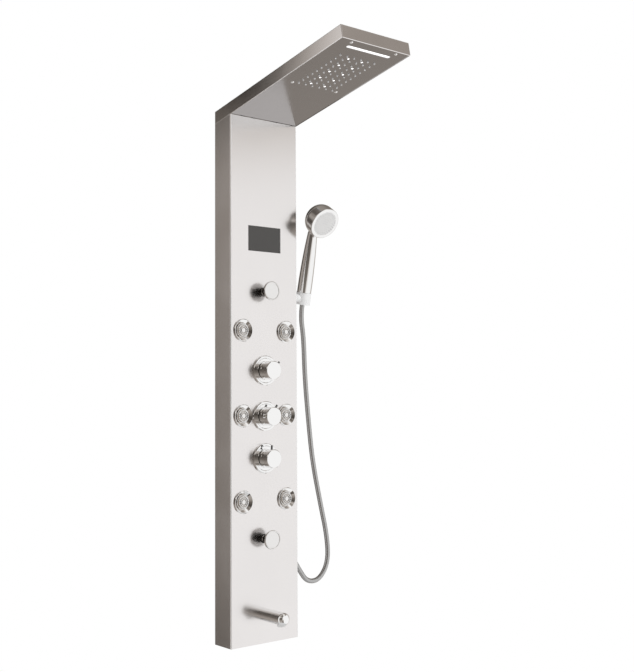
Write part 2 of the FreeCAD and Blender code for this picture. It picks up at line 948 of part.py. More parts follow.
def led_lamps():
    lamps = [
        head_rod(f"lamp_{name}", S["lamp_radius"], lid_top - plate_low, across, along, plate_low)
        for name, across, along in lamp_spots()
    ]
    return group("led_lamps", lamps)


def led_board():
    half = chamber_half - S["board_margin"]
    along = (chamber_back + S["board_margin"], chamber_front - S["board_margin"])
    return head_box("led_board", (-half, half), along, (lid_top, board_top))


def spray_plate_screws():
    made = []
    for name, across, along in screw_spots():
        head_low = plate_low - S["screw_head_height"]
        shank = head_rod(
            f"screw_shank_{name}", S["screw_shank_radius"], S["screw_length"], across, along, plate_low
        )
        profile = [
            (0, 0),
            (S["screw_head_top"], 0),
            (S["screw_head_radius"], S["screw_head_height"]),
            (0, S["screw_head_height"]),
        ]
        cap = lathe(
            f"screw_head_{name}", profile, in_head(across, along, head_low), HEAD_UP,
            {1: S["screw_dome_radius"]},
        )
        made.append(joined(f"screw_{name}", [shank, cap]))
    return group("spray_plate_screws", made)


def waterfall_outlet():
    half = S["fall_half_width"]
    top = plate_high + S["fall_height"]
    block = head_box(
        "fall_block", (-half, half), (S["fall_back"], S["fall_front"]), (plate_high, top)
    )
    gap = S["seat_gap"]
    run = (S["slot_length"] - S["slot_width"]) / 2
    ends = S["slot_width"] / 2 - gap
    lip_low = plate_low + S["sheet"] / 2
    lip = [
        head_box(
            "fall_lip", (-run, run), (S["slot_place"] - ends, S["slot_place"] + ends), (lip_low, top)
        )
    ]
    for side in (-1, 1):
        lip.append(
            head_rod(f"fall_lip_end_{side + 1}", ends, top - lip_low, side * run, S["slot_place"], lip_low)
        )
    slit = S["slit_length"] / 2
    narrow = S["slit_width"] / 2
    cuts = [
        head_box(
            "fall_slit", (-slit, slit),
            (S["slot_place"] - narrow, S["slot_place"] + narrow), (-over, top - S["chamber_wall"]),
        ),
        head_rod(
            "fall_inlet", S["pipe_radius"] - S["pipe_wall"], S["slot_place"] - S["fall_back"] + over,
            0, S["slot_place"], fall_pipe_rise, HEAD_BACK,
        ),
    ]
    for name, across, along in screw_spots():
        radius = S["screw_shank_radius"] + gap
        high = plate_low + S["screw_length"] + over
        cuts.append(head_hole(f"fall_screw_{name}", radius, across, along, high))
    return minus("waterfall_outlet", joined("fall_solid", [block] + lip), cuts)


fall_pipe_rise = (board_top + top_inner) / 2


def head_joint_plates():
    """Two flat plates inside, screwed to the column's sides and to the head's sides."""
    made = []
    for side in (-1, 1):
        edges = sorted((side * inner_half, side * (inner_half - S["sheet"])), key=lambda e: e.value)
        back = S["joint_plate_back"]
        top = S["seam_height"] + top_inner / 2 - S["joint_plate_gap"]
        made.append(
            box(
                f"joint_plate_{side + 1}",
                (edges[0], -S["joint_plate_length"] - back, S["seam_height"] - S["joint_plate_height"]),
                (edges[1], -back, top),
            )
        )
    return group("head_joint_plates", made)


# ---------------------------------------------------------------- wall brackets

BRACKETS = {"upper": S["seam_height"] - S["bracket_upper_drop"], "lower": S["bracket_lower"]}


def hanger_bars():
    half = inner_half - S["bar_side_gap"]
    made = []
    for name, foot in BRACKETS.items():
        made.append(
            box(
                f"bar_{name}",
                (-half, -S["sheet"] * 2, foot),
                (half, -S["sheet"], foot + S["bar_height"]),
            )
        )
    return group("hanger_bars", made)


def wall_bracket(name):
    top = BRACKETS[name]
    half = S["bracket_width"] / 2
    thick = S["sheet"]
    plate = box(
        f"bracket_plate_{name}", (-half, -thick, top - S["bracket_height"]), (half, 0, top)
    )
    shelf = box(
        f"bracket_shelf_{name}",
        (-half, -thick * 2 - S["hook_gap"], top - thick),
        (half, -thick, top),
    )
    hook = box(
        f"bracket_hook_{name}",
        (-half, -thick * 2 - S["hook_gap"], top - thick),
        (half, -thick - S["hook_gap"], top + S["hook_rise"]),
    )
    holes = [
        rod(
            f"bracket_hole_{name}_{side + 1}", S["wall_screw_radius"], thick + over * 2,
            (side * S["wall_screw_spacing"] / 2, over, top - S["wall_screw_drop"]), "out",
        )
        for side in (-1, 1)
    ]
    solid = joined(f"bracket_solid_{name}", [plate, shelf, hook])
    return minus(f"wall_bracket_{name}", solid, holes)


# ---------------------------------------------------------------- display

def display_window():
    half = S["display_width"] / 2
    rise = S["display_height"] / 2
    face = front - S["display_recess"]
    return box(
        "display_window",
        (-half, -face, S["display_place"] - rise),
        (half, S["window_thickness"] - face, S["display_place"] + rise),
    )


def display_housing():
    half = S["display_width"] / 2
    rise = S["display_height"] / 2
    edge = S["display_border"]
    face = front - S["display_recess"]
    middle = S["display_place"]
    shell = box(
        "display_case",
        (-half - edge, -inner_front, middle - rise - edge),
        (half + edge, S["display_depth"] - inner_front, middle + rise + edge),
    )
    gap = S["seat_gap"]
    pocket = box(
        "display_pocket",
        (-half - gap, -inner_front - over, middle - rise - gap),
        (half + gap, S["window_thickness"] - face, middle + rise + gap),
    )
    border = S["display_inner_border"]
    hollow = box(
        "display_hollow",
        (border - half, -inner_front, middle - rise + border),
        (half - border, S["display_depth"] - inner_front - S["display_wall"], middle + rise - border),
    )
    return minus("display_housing", shell, [pocket, hollow])


# ---------------------------------------------------------------- manifold, cartridges, knobs

base_top = S["selector_place"] - S["base_drop"]
base_bottom = base_top - S["base_height"]
manifold_top = S["mixer_place"] + S["manifold_head"]
rain_port = S["mixer_place"] + S["manifold_head"] / 2
shower_port = S["stop_body_width"] / 2 + S["pipe_radius"] + S["hole_gap"]


def valve_manifold():
    half = S["manifold_width"] / 2
    base = S["base_width"] / 2
    bar = box(
        "manifold_bar",
        (-half, -S["manifold_front"], base_bottom),
        (half, -S["manifold_back"], manifold_top),
    )
    foot = box(
        "manifold_foot",
        (-base, -S["manifold_front"], base_bottom),
        (base, -S["manifold_back"], base_top),
    )
    solid = [bar, foot]
    cuts = []
    for side, name in ((-1, "hot"), (1, "cold")):
        spot = (side * S["inlet_across"], -S["pipe_out"], base_bottom)
        solid.append(rod(f"inlet_{name}", S["inlet_radius"], S["inlet_length"], spot, "down"))
        deep = (side * S["inlet_across"], -S["pipe_out"], base_bottom - S["inlet_length"] - over)
        length = S["inlet_length"] + over + S["inlet_depth"]
        cuts.append(rod(f"inlet_bore_{name}", S["inlet_bore"], length, deep))
    for name, (height, _) in KNOBS.items():
        bore = S["cartridge_radius"] + S["seat_gap"]
        depth = S["manifold_front"] - S["cartridge_seat"] + over
        cuts.append(rod(f"manifold_bore_{name}", bore, depth, (0, -S["cartridge_seat"], height), "out"))
    return minus("valve_manifold", joined("manifold_solid", solid), cuts)


def cartridge(name, height):
    seat = S["cartridge_seat"]
    hole = S["spindle_radius"] + S["running_gap"]
    start = S["spindle_start"] - S["running_gap"]
    profile = [
        (0, seat),
        (S["cartridge_radius"], seat),
        (S["cartridge_radius"], S["manifold_front"]),
        (S["cartridge_nose_radius"], S["manifold_front"]),
        (S["cartridge_nose_radius"], S["cartridge_nose"]),
        (hole, S["cartridge_nose"]),
        (hole, start),
        (0, start),
    ]
    return lathe(f"{name}_cartridge", profile, (0, 0, height))


def cartridge_nuts():
    made = []
    for name, (height, _) in KNOBS.items():
        spot = (0, -S["manifold_front"], height)
        nut = prism(f"{name}_nut_bar", S["cartridge_nut_radius"], S["cartridge_nut_height"], spot, "out")
        inside = S["cartridge_nose_radius"] + S["seat_gap"]
        hole = rod(f"{name}_nut_hole", inside, front, (0, 0, height), "out")
        made.append(minus(f"{name}_nut", nut, [hole]))
    return group("cartridge_nuts", made)


def ring_plate(name, height):
    outer = front + S["ring_height"]
    profile = [
        (S["ring_hole_radius"], front),
        (S["ring_radius"], front),
        (S["ring_radius"], outer - S["ring_step"]),
        (S["ring_radius"] - S["ring_step"], outer),
        (S["ring_step_radius"] + S["ring_step"], outer),
        (S["ring_step_radius"], outer - S["ring_step"]),
        (S["ring_hole_radius"], outer - S["ring_step"]),
    ]
    return lathe(f"{name}_ring_plate", profile, (0, 0, height))


knob_back = front + S["ring_height"] + S["knob_gap"]
knob_face = front + S["knob_front"]
spindle_end = knob_back + S["spindle_reach"]


def knob(name, height, angle):
    hole = S["spindle_radius"] + S["seat_gap"]
    edge = S["knob_edge"]
    profile = [
        (hole, knob_back),
        (S["knob_radius"] - edge, knob_back),
        (S["knob_radius"], knob_back + edge),
        (S["knob_radius"], knob_face - edge),
        (S["knob_radius"] - edge, knob_face),
        (0, knob_face),
        (0, spindle_end),
        (hole, spindle_end),
    ]
    turned = lathe(f"{name}_knob_turned", profile, (0, 0, height))
    socket = pin_rod(f"{name}_pin_socket", S["pin_radius"] + S["seat_gap"], height, angle)
    return minus(f"{name}_knob", turned, [socket])


def pin_rod(label, radius, height, angle):
    """A rod that stands out of a knob's side, turned from straight up by the angle."""
    reach = S["pin_reach"] - S["pin_seat"]
    spot = (
        S["pin_seat"] * sine(angle),
        -front - S["pin_stand"],
        height + S["pin_seat"] * cosine(angle),
    )
    return rod(label, radius, reach, spot, ((0, 1, 0), angle))


def spindle(name, height):
    length = spindle_end - S["spindle_start"]
    return rod(f"{name}_spindle", S["spindle_radius"], length, (0, -S["spindle_start"], height), "out")


# ---------------------------------------------------------------- stop valves

def stop_valve(name, height):
    half = S["stop_body_width"] / 2
    block = box(
        f"{name}_stop_block",
        (-half, -S["stop_body_front"], height - half),
        (half, -S["stop_body_back"], height + half),
    )
    end = front + S["stop_neck_stand"]
    neck = rod(
        f"{name}_stop_neck", S["stop_neck_radius"], end - S["stop_body_front"],
        (0, -S["stop_body_front"], height), "out",
    )
    hole = S["stop_spindle_radius"] + S["running_gap"]
    start = S["spindle_start"] - S["running_gap"]
    bore = rod(f"{name}_stop_bore", hole, front, (0, -start, height), "out")
    return minus(f"{name}_stop_valve", joined(f"{name}_stop_solid", [block, neck]), [bore])


def stop_knob(name, height):
    """A disc on a neck, with a rounded rim around its dished face."""
    back = front + S["stop_neck_stand"] + S["knob_gap"]
    face = front + S["stop_knob_front"]
    hole = S["stop_spindle_radius"] + S["seat_gap"]
    edge = S["knob_edge"]
    rim_back = face - S["stop_rim"]
    turn = S["stop_rim_round"]
    dish = face - S["stop_dish"]
    profile = [
        (hole, back),
        (S["stop_knob_neck_radius"], back),
        (S["stop_knob_neck_radius"], rim_back - edge),
        (S["stop_knob_neck_radius"] + edge, rim_back),
        (S["stop_knob_radius"] - edge, rim_back),
        (S["stop_knob_radius"], rim_back + edge),
        (S["stop_knob_radius"], face - turn),
        (S["stop_knob_radius"] - turn, face),
        (S["stop_dish_radius"], dish),
        (0, dish),
        (0, rim_back),
        (hole, rim_back),
    ]
    rounding = {6: turn, 7: turn}
    return lathe(f"{name}_stop_knob", profile, (0, 0, height), "out", rounding)


def stop_spindle(name, height):
    end = front + S["stop_knob_front"] - S["stop_rim"]
    length = end - S["spindle_start"]
    spot = (0, -S["spindle_start"], height)
    return rod(f"{name}_stop_spindle", S["stop_spindle_radius"], length, spot, "out")


# ---------------------------------------------------------------- body jets

jet_face = front + S["jet_ring_height"]
jet_ball_face = jet_face - S["jet_ball_recess"]
jet_centre = jet_ball_face - S["jet_ball_radius"] + S["jet_ball_sink"]
jet_cavity = S["jet_ball_radius"] + S["ball_gap"]


def jet_housings():
    made = []
    for name, (across, height) in JETS.items():
        floor = jet_face - S["jet_bowl_depth"]
        profile = [
            (0, S["jet_box_front"]),
            (S["jet_neck_radius"], S["jet_box_front"]),
            (S["jet_neck_radius"], front),
            (S["jet_ring_radius"], front),
            (S["jet_ring_radius"], jet_face - S["jet_ring_edge"]),
            (S["jet_ring_radius"] - S["jet_ring_edge"], jet_face),
            (S["jet_bowl_radius"], jet_face),
            (S["jet_bowl_floor_radius"], floor),
            (0, floor),
        ]
        turned = lathe(f"jet_{name}_turned", profile, (across, 0, height))
        half = S["jet_box_width"] / 2
        block = box(
            f"jet_{name}_block",
            (across - half, -S["jet_box_front"], height - half),
            (across + half, -S["jet_box_back"], height + half),
        )
        solid = joined(f"jet_{name}_solid", [turned, block])
        cavity = ball(f"jet_{name}_cavity", jet_cavity, (across, -jet_centre, height))
        water = rod(
            f"jet_{name}_water", S["waterway_radius"], front,
            (across, -S["jet_box_back"] - S["port_wall"], height), "out",
        )
        made.append(minus(f"jet_{name}_housing", solid, [cavity, water]))
    return group("jet_housings", made)


def jet_ball(name, across, height):
    """A ball with a flat face, two ring grooves and water holes in the inner one."""
    sphere = ball(f"{name}_sphere", S["jet_ball_radius"], (across, -jet_centre, height))
    far = S["jet_ball_radius"] * 2
    face = box(
        f"{name}_face_cut",
        (across - far, -jet_ball_face - far, height - far),
        (across + far, -jet_ball_face, height + far),
    )
    end = S["jet_ball_back"] - jet_centre
    inside = jet_ball_face - S["jet_face_thickness"]
    bore = rod(f"{name}_bore", S["jet_bore"], inside + end + over, (across, end + over, height), "out")
    back = box(
        f"{name}_back_cut",
        (across - far, end, height - far),
        (across + far, end + far, height + far),
    )
    floor = jet_ball_face - S["jet_groove_depth"]
    grooves = []
    for ring in ("inner", "outer"):
        near = S[f"jet_groove_{ring}"]
        wide = near + S["jet_groove_width"]
        high = jet_ball_face + over
        profile = [(near, floor), (wide, floor), (wide, high), (near, high)]
        grooves.append(lathe(f"{name}_{ring}_groove", profile, (across, 0, height)))
    ring = S["jet_groove_inner"] + S["jet_groove_width"] / 2
    holes = []
    count = int(S["jet_hole_count"].value)
    for index in range(count):
        turn = as_size(360 / count * index)
        spot = (across + ring * cosine(turn), over - inside, height + ring * sine(turn))
        holes.append(rod(f"{name}_hole_{index}", S["jet_hole_radius"], far, spot, "out"))
    return minus(f"jet_{name}_ball", sphere, [face, back, bore] + grooves + holes)


def jet_nuts():
    made = []
    for name, (across, height) in JETS.items():
        spot = (across, S["jet_nut_height"] - inner_front, height)
        nut = prism(f"jet_{name}_nut_bar", S["jet_nut_radius"], S["jet_nut_height"], spot, "out")
        inside = S["jet_neck_radius"] + S["seat_gap"]
        hole = rod(f"jet_{name}_nut_hole", inside, front, (across, 0, height), "out")
        made.append(minus(f"jet_{name}_nut", nut, [hole]))
    return group("jet_nuts", made)


# ---------------------------------------------------------------- pipes and turbine

turbine_middle = S["seam_height"] - S["turbine_drop"]
turbine_low = turbine_middle - S["turbine_width"] / 2
turbine_high = turbine_middle + S["turbine_width"] / 2


def straight_pipe(label, length, spot, way):
    """A short straight tube between two flat faces."""
    outside = rod(f"{label}_outside", S["pipe_radius"], length, spot, way)
    inside = rod(f"{label}_inside", S["pipe_radius"] - S["pipe_wall"], length, spot, way)
    return minus(label, outside, [inside])


def place_on_slope(across, away, rise):
    """The point of the head's frame at this rise that lies straight above a pipe."""
    along = (away - front + rise * tilt_sin) / tilt_cos
    return in_head(across, along, rise)


def rain_pipe():
    away = S["pipe_out"]
    across = -S["rain_pipe_across"]
    rise = (plate_high + chamber_top) / 2
    lower = [
        (-S["manifold_width"] / 2, -away, rain_port),
        (across, -away, rain_port),
        (across, -away, turbine_low),
    ]
    upper = [
        (across, -away, turbine_high),
        place_on_slope(across, away, rise),
        in_head(across, chamber_back - S["chamber_margin"], rise),
    ]
    return lower, upper


def fall_pipe():
    away = S["pipe_out"]
    return [
        (0, -away, S["stop_upper_place"] + S["stop_body_width"] / 2),
        place_on_slope(0, away, fall_pipe_rise),
        in_head(0, S["fall_back"], fall_pipe_rise),
    ]


def shower_pipe():
    away = S["outlet_out"]
    reach = half_width - S["outlet_block_reach"]
    return [
        (shower_port, -away, base_bottom),
        (shower_port, -away, S["outlet_place"]),
        (reach, -away, S["outlet_place"]),
    ]


def supply_pipes():
    radius = S["pipe_radius"]
    bore = S["pipe_radius"] - S["pipe_wall"]
    bend = S["pipe_bend"].value
    tight = S["pipe_bend_tight"].value
    lower, upper = rain_pipe()
    made = [
        pipe("rain_pipe_lower", lower, radius, bore, tight)[0],
        pipe("rain_pipe_upper", upper, radius, bore, bend)[0],
        pipe("fall_pipe", fall_pipe(), radius, bore, bend)[0],
        pipe("shower_pipe", shower_pipe(), radius, bore, tight)[0],
    ]
    stop_half = S["stop_body_width"] / 2
    links = [
        ("fall_link", manifold_top, S["stop_upper_place"] - stop_half),
        ("spout_link", S["stop_lower_place"] + stop_half, base_bottom),
        ("spout_drop", S["spout_place"] + S["spout_block_width"] / 2, S["stop_lower_place"] - stop_half),
    ]
    for name, low, high in links:
        made.append(straight_pipe(name, high - low, (0, -S["pipe_out"], low), "up"))
    half = S["jet_box_width"] / 2
    for side, name in ((-1, "left"), (1, "right")):
        across = side * S["jet_across"]
        for low, high in (("lower", "middle"), ("middle", "upper")):
            start = S[f"jet_{low}"] + half
            length = S[f"jet_{high}"] - half - start
            spot = (across, -S["jet_pipe_out"], start)
            made.append(straight_pipe(f"jet_link_{low}_{name}", length, spot, "up"))
        near = S["manifold_width"] / 2
        length = S["jet_across"] - half - near
        spot = (side * near, -S["jet_pipe_out"], S["jet_middle"])
        way = "right" if side > 0 else "left"
        made.append(straight_pipe(f"jet_feed_{name}", length, spot, way))
    return group("supply_pipes", made)


def turbine_body():
    half = S["turbine_width"] / 2
    across = -S["rain_pipe_across"]
    case = box(
        "turbine_case",
        (across - half, -S["turbine_front"], turbine_low),
        (across + half, -S["turbine_back"], turbine_high),
    )
    wall = S["turbine_wall"]
    back = S["turbine_back"] + wall
    length = S["turbine_front"] - wall - back
    spot = (across, -back, turbine_middle)
    cavity = rod("turbine_cavity", S["turbine_cavity_radius"], length, spot, "out")
    seat = S["rotor_shaft_seat"] + S["running_gap"]
    shaft_spot = (across, -back + seat, turbine_middle)
    bearing = rod(
        "turbine_bearing", S["rotor_shaft_radius"] + S["running_gap"], length + seat * 2, shaft_spot, "out"
    )
    bore = S["pipe_radius"] - S["pipe_wall"]
    length = S["turbine_width"] + over * 2
    water = rod("turbine_water", bore, length, (across, -S["pipe_out"], turbine_low - over))
    return minus("turbine_body", case, [cavity, bearing, water])


def turbine_rotor():
    across = -S["rain_pipe_across"]
    wall = S["turbine_wall"]
    gap = S["rotor_tip_gap"]
    back = S["turbine_back"] + wall + gap
    length = S["turbine_front"] - wall - gap - back
    middle = turbine_middle
    hub = rod("rotor_hub", S["rotor_hub_radius"], length, (across, -back, middle), "out")
    seat = S["rotor_shaft_seat"] + gap
    shaft = rod(
        "rotor_shaft", S["rotor_shaft_radius"], length + seat * 2, (across, seat - back, middle), "out"
    )
    reach = S["turbine_cavity_radius"] - gap
    count = int(S["blade_count"].value)
    blades = []
    for i in range(count):
        angle = 360 / count * i
        made = DOC.addObject("Part::Box", f"rotor_blade_{i}")
        bind(made, "Length", S["blade_thickness"])
        bind(made, "Width", length)
        bind(made, "Height", reach)
        turn = FreeCAD.Rotation(FreeCAD.Vector(0, 1, 0), angle)
        shift = turn.multVec(FreeCAD.Vector(-S["blade_thickness"].value / 2, 0, 0))
        made.Placement = FreeCAD.Placement(FreeCAD.Vector(), turn)
        bind(made, "Placement.Base.x", across + shift.x)
        bind(made, "Placement.Base.y", -back - length)
        bind(made, "Placement.Base.z", middle + shift.z)
        blades.append(made)
    return joined("turbine_rotor", [hub, shaft] + blades)


# ---------------------------------------------------------------- spout

spout_tip = front + S["spout_length"]


def spout_body():
    radius = S["spout_radius"]
    shoulder = spout_tip - S["spout_dome"]
    profile = [
        (0, S["spout_tail_back"]),
        (S["spout_tail_radius"], S["spout_tail_back"]),
        (S["spout_tail_radius"], front),
        (radius, front),
        (radius, shoulder),
        (S["spout_nose_radius"], spout_tip),
        (0, spout_tip),
    ]
    dome = {4: S["spout_dome_radius"]}
    turned = lathe("spout_turned", profile, (0, 0, S["spout_place"]), "out", dome)
    half = S["spout_block_width"] / 2
    block = box(
        "spout_block",
        (-half, -S["spout_tail_back"], S["spout_place"] - half),
        (half, -S["spout_block_back"], S["spout_place"] + half),
    )
    water_start = S["spout_block_back"] + S["port_wall"]
    water_end = front + S["aerator_place"]
    water = rod(
        "spout_water", S["spout_bore"], water_end - water_start,
        (0, -water_start, S["spout_place"]), "out",
    )
    seat = S["aerator_radius"] + S["seat_gap"]
    mouth = rod("spout_mouth", seat, radius + over, (0, -water_end, S["spout_place"]), "down")
    solid = joined("spout_solid", [turned, block])
    return minus("spout_body", solid, [water, mouth])


def spout_aerator():
    low = -S["spout_radius"] - S["aerator_stand"]
    high = low + S["aerator_height"]
    profile = [
        (S["aerator_bore"], low),
        (S["aerator_radius"] - S["aerator_edge"], low),
        (S["aerator_radius"], low + S["aerator_edge"]),
        (S["aerator_radius"], high),
        (S["aerator_bore"], high),
    ]
    spot = (0, -front - S["aerator_place"], S["spout_place"])
    return lathe("spout_aerator", profile, spot, "up")


def spout_nut():
    spot = (0, S["spout_nut_height"] - inner_front, S["spout_place"])
    nut = prism("spout_nut_bar", S["spout_nut_radius"], S["spout_nut_height"], spot, "out")
    inside = S["spout_tail_radius"] + S["seat_gap"]
    hole = rod("spout_nut_hole", inside, front, (0, 0, S["spout_place"]), "out")
    return minus("spout_nut", nut, [hole])


# ---------------------------------------------------------------- hose outlet, holder, hand shower

outlet_across = half_width + S["outlet_reach"]
outlet_end = S["outlet_place"] - S["outlet_drop"]
LEAN = ((1, 0, 0), S["holder_lean"])
lean_cos = cosine(S["holder_lean"])
lean_sin = sine(S["holder_lean"])


def hose_outlet():
    """An elbow: through the column's side, then down to the hose."""
    away = -S["outlet_out"]
    height = S["outlet_place"]
    half = S["outlet_block_width"] / 2
    block = box(
        "outlet_block",
        (half_width - S["outlet_block_reach"], away - half, height - half),
        (half_width - S["outlet_block_reach"] + half, away + half, height + half),
    )
    start = half_width - S["outlet_block_reach"]
    stem = rod(
        "outlet_stem", S["outlet_radius"], S["outlet_block_reach"] + S["outlet_reach"],
        (start, away, height), "right",
    )
    flange = rod(
        "outlet_flange", S["outlet_flange_radius"], S["outlet_flange"], (half_width, away, height), "right"
    )
    knee = ball("outlet_knee", S["outlet_radius"], (outlet_across, away, height))
    drop = rod(
        "outlet_drop_tube", S["outlet_radius"], S["outlet_drop"], (outlet_across, away, height), "down"
    )
    water = rod(
        "outlet_water", S["outlet_bore"], outlet_across - start - S["port_wall"],
        (start + S["port_wall"], away, height), "right",
    )
    water_down = rod(
        "outlet_water_down", S["outlet_bore"], S["outlet_drop"] + over,
        (outlet_across, away, height), "down",
    )
    solid = joined("outlet_solid", [block, stem, flange, knee, drop])
    return minus("hose_outlet", solid, [water, water_down])


def hose_outlet_nut():
    """The nut at the hose's lower end, with its mouth upwards on the elbow."""
    top = 0 - S["outlet_drop"]
    low = top - S["hose_nut_height"]
    hole = S["hose_bore"]
    radius = S["hose_nut_radius"]
    profile = [
        (hole, low),
        (S["hose_nut_low_radius"], low),
        (radius, low + S["hose_nut_taper"]),
        (radius, top),
        (hole, top),
    ]
    spot = (outlet_across, -S["outlet_out"], S["outlet_place"])
    return lathe("hose_outlet_nut", profile, spot, "up")


def in_hand(across, away, rise):
    """A point of the leaning hand shower: along its axis from the middle of the holder."""
    away = as_size(away)
    rise = as_size(rise)
    return (
        S["holder_across"] + across,
        -S["holder_out"] - away * lean_cos - rise * lean_sin,
        S["holder_place"] - away * lean_sin + rise * lean_cos,
    )


collar_top = S["collar_height"] / 2


def hand_shower_holder():
    """An arm on the column's side with a leaning collar that the cone nut sits in."""
    collar = rod(
        "holder_collar", S["collar_radius"], S["collar_height"], in_hand(0, 0, -collar_top), LEAN
    )
    arm = rod(
        "holder_arm", S["arm_radius"], S["holder_across"] - half_width,
        (half_width, -S["holder_out"], S["holder_place"]), "right",
    )
    flange = rod(
        "holder_flange", S["arm_flange_radius"], S["arm_flange"],
        (half_width, -S["holder_out"], S["holder_place"]), "right",
    )
    stud = rod(
        "holder_stud", S["arm_radius"] / 2, S["arm_radius"],
        (half_width - S["arm_radius"], -S["holder_out"], S["holder_place"]), "right",
    )
    bore = cone(
        "holder_bore", S["collar_bore_bottom"], S["collar_bore_top"], S["collar_height"],
        in_hand(0, 0, -collar_top), LEAN,
    )
    solid = joined("holder_solid", [collar, arm, flange, stud])
    return minus("hand_shower_holder", solid, [bore])


def hose_cone_nut():
    """The tapered nut at the hose's upper end, which sits in the holder's collar."""
    gap = S["cone_clearance"]
    hole = S["hose_bore"]
    profile = [
        (hole, -collar_top),
        (S["collar_bore_bottom"] - gap, -collar_top),
        (S["collar_bore_top"] - gap, collar_top),
        (hole, collar_top),
    ]
    return lathe("hose_cone_nut", profile, in_hand(0, 0, 0), LEAN)


FACE_SPOT = (S["holder_across"], -S["face_out"], S["face_height"])
FACE_BACK = ((1, 0, 0), S["face_drop"] - 90)


def behind_face(depth):
    """A point of the hand shower's axis of spray, this far behind its face."""
    return (
        S["holder_across"],
        depth * cosine(S["face_drop"]) - S["face_out"],
        S["face_height"] + depth * sine(S["face_drop"]),
    )


def hand_shower_body():
    """A swelling handle on the cone nut with a round head that faces forward and down."""
    gap = S["cone_clearance"]
    length = S["handle_length"]
    profile = [
        (0, 0),
        (S["handle_bottom_radius"], 0),
        (S["handle_top_radius"], length),
        (0, length),
    ]
    start = collar_top + gap
    handle = lathe("handle_outside", profile, in_hand(0, 0, start), LEAN, {1: S["handle_swell"]})
    foot = rod("handle_foot", S["collar_bore_top"] - gap, gap, in_hand(0, 0, collar_top), LEAN)
    radius = S["face_radius"]
    edge = S["face_edge"]
    head_profile = [
        (0, 0),
        (radius - edge, 0),
        (radius, edge),
        (radius, S["face_depth"]),
        (0, S["face_depth"]),
    ]
    rim = lathe("hand_rim", head_profile, FACE_SPOT, FACE_BACK, {1: edge})
    dome = DOC.addObject("Part::Ellipsoid", "hand_dome")
    dome.Label = "hand_dome"
    dome.Angle1 = 0
    bind(dome, "Radius1", S["face_dome"])
    bind(dome, "Radius2", radius)
    bind(dome, "Radius3", radius)
    place(dome, behind_face(S["face_depth"]), *FACE_BACK)
    neck_start = in_hand(0, 0, start + length)
    neck = ball("hand_neck", S["handle_top_radius"], neck_start)
    ends = [neck_start, behind_face(S["face_depth"])]
    link = pipe("hand_link", ends, S["handle_top_radius"], None)[0]
    water = rod(
        "handle_water", S["handle_bore"], S["handle_bore_length"], in_hand(0, 0, collar_top - over), LEAN
    )
    seat = S["spray_radius"] + S["seat_gap"]
    pocket = rod("hand_pocket", seat, S["spray_thickness"], FACE_SPOT, FACE_BACK)
    solid = joined("hand_solid", [handle, foot, rim, dome, neck, link])
    return minus("hand_shower_body", solid, [water, pocket])


def hand_shower_face():
    return rod("hand_shower_face", S["spray_radius"], S["spray_thickness"], FACE_SPOT, FACE_BACK)


# The hose hangs from the hand shower, swings out to the right and comes back up to the
# outlet. These are the corners of its route, from the top fitting to the bottom one.
HOSE_ROUTE = [
    (158.0, -20.0, 735.0),
    (161.0, -20.0, 639.0),
    (171.0, -21.0, 530.0),
    (183.0, -22.0, 424.0),
    (207.0, -23.0, 317.0),
    (229.0, -24.0, 228.0),
    (233.0, -23.0, 162.0),
    (204.0, -22.0, 120.0),
    (164.0, -21.0, 120.0),
    (139.0, -21.0, 153.0),
]


def shower_hose():
    top = [c.value for c in in_hand(0, 0, -collar_top)]
    start = [c.value for c in in_hand(0, 0, -collar_top - S["hose_first_run"])]
    low = outlet_end - S["hose_nut_height"]
    low_ends = [low - S["hose_last_run"], low]
    end = [(outlet_across.value, -S["outlet_out"].value, height.value) for height in low_ends]
    points = [FreeCAD.Vector(*p) for p in [top, start] + HOSE_ROUTE + end]
    made, wire, radii = pipe("shower_hose", points, S["hose_radius"], None)
    area = math.pi * S["hose_radius"].value ** 2
    print("hose length", round(wire.Length, 1), "radii", [round(r) for r in radii])
    print("hose volume over section times length", round(made.Shape.Volume / area / wire.Length, 4))
    print("hose points", [tuple(round(c, 1) for c in p) for p in points])
    return made


# ---------------------------------------------------------------- assembly

NODES = [
    column_shell(),
    head_top_shell(),
    head_spray_plate(),
    head_joint_plates(),
    hanger_bars(),
    wall_bracket("upper"),
    wall_bracket("lower"),
    rain_chamber(),
    rain_chamber_lid(),
    rain_nozzles(),
    led_lamps(),
    led_board(),
    spray_plate_screws(),
    waterfall_outlet(),
    display_window(),
    display_housing(),
    valve_manifold(),
    cartridge_nuts(),
    jet_housings(),
    jet_nuts(),
    supply_pipes(),
    turbine_body(),
    turbine_rotor(),
    spout_body(),
    spout_aerator(),
    spout_nut(),
    hose_outlet(),
    hose_outlet_nut(),
    hand_shower_holder(),
    hose_cone_nut(),
    hand_shower_body(),
    hand_shower_face(),
    shower_hose(),
]
for knob_name, (knob_height, knob_angle) in KNOBS.items():
    NODES.append(cartridge(knob_name, knob_height))
    NODES.append(ring_plate(knob_name, knob_height))
    NODES.append(knob(knob_name, knob_height, knob_angle))
    pin = pin_rod(f"{knob_name}_index_pin", S["pin_radius"], knob_height, knob_angle)
    NODES.append(pin)
    NODES.append(spindle(knob_name, knob_height))
for stop_name, stop_height in STOPS.items():
    NODES.append(stop_valve(stop_name, stop_height))
    NODES.append(stop_knob(stop_name, stop_height))
    NODES.append(stop_spindle(stop_name, stop_height))
for jet_name, (jet_across, jet_height) in JETS.items():
    NODES.append(jet_ball(jet_name, jet_across, jet_height))

DOC.recompute()


def check_objects():
    """Stop before anything is written if an object failed or a node has no sound shape."""
    for thing in DOC.Objects:
        if any(word in thing.State for word in ("Invalid", "Error")):
            raise RuntimeError(f"{thing.Label} failed: {thing.State}")
    for node in NODES:
        if node.Shape.isNull() or not node.Shape.isValid() or not node.Shape.Solids:
            raise RuntimeError(f"{node.Label} has no sound shape")


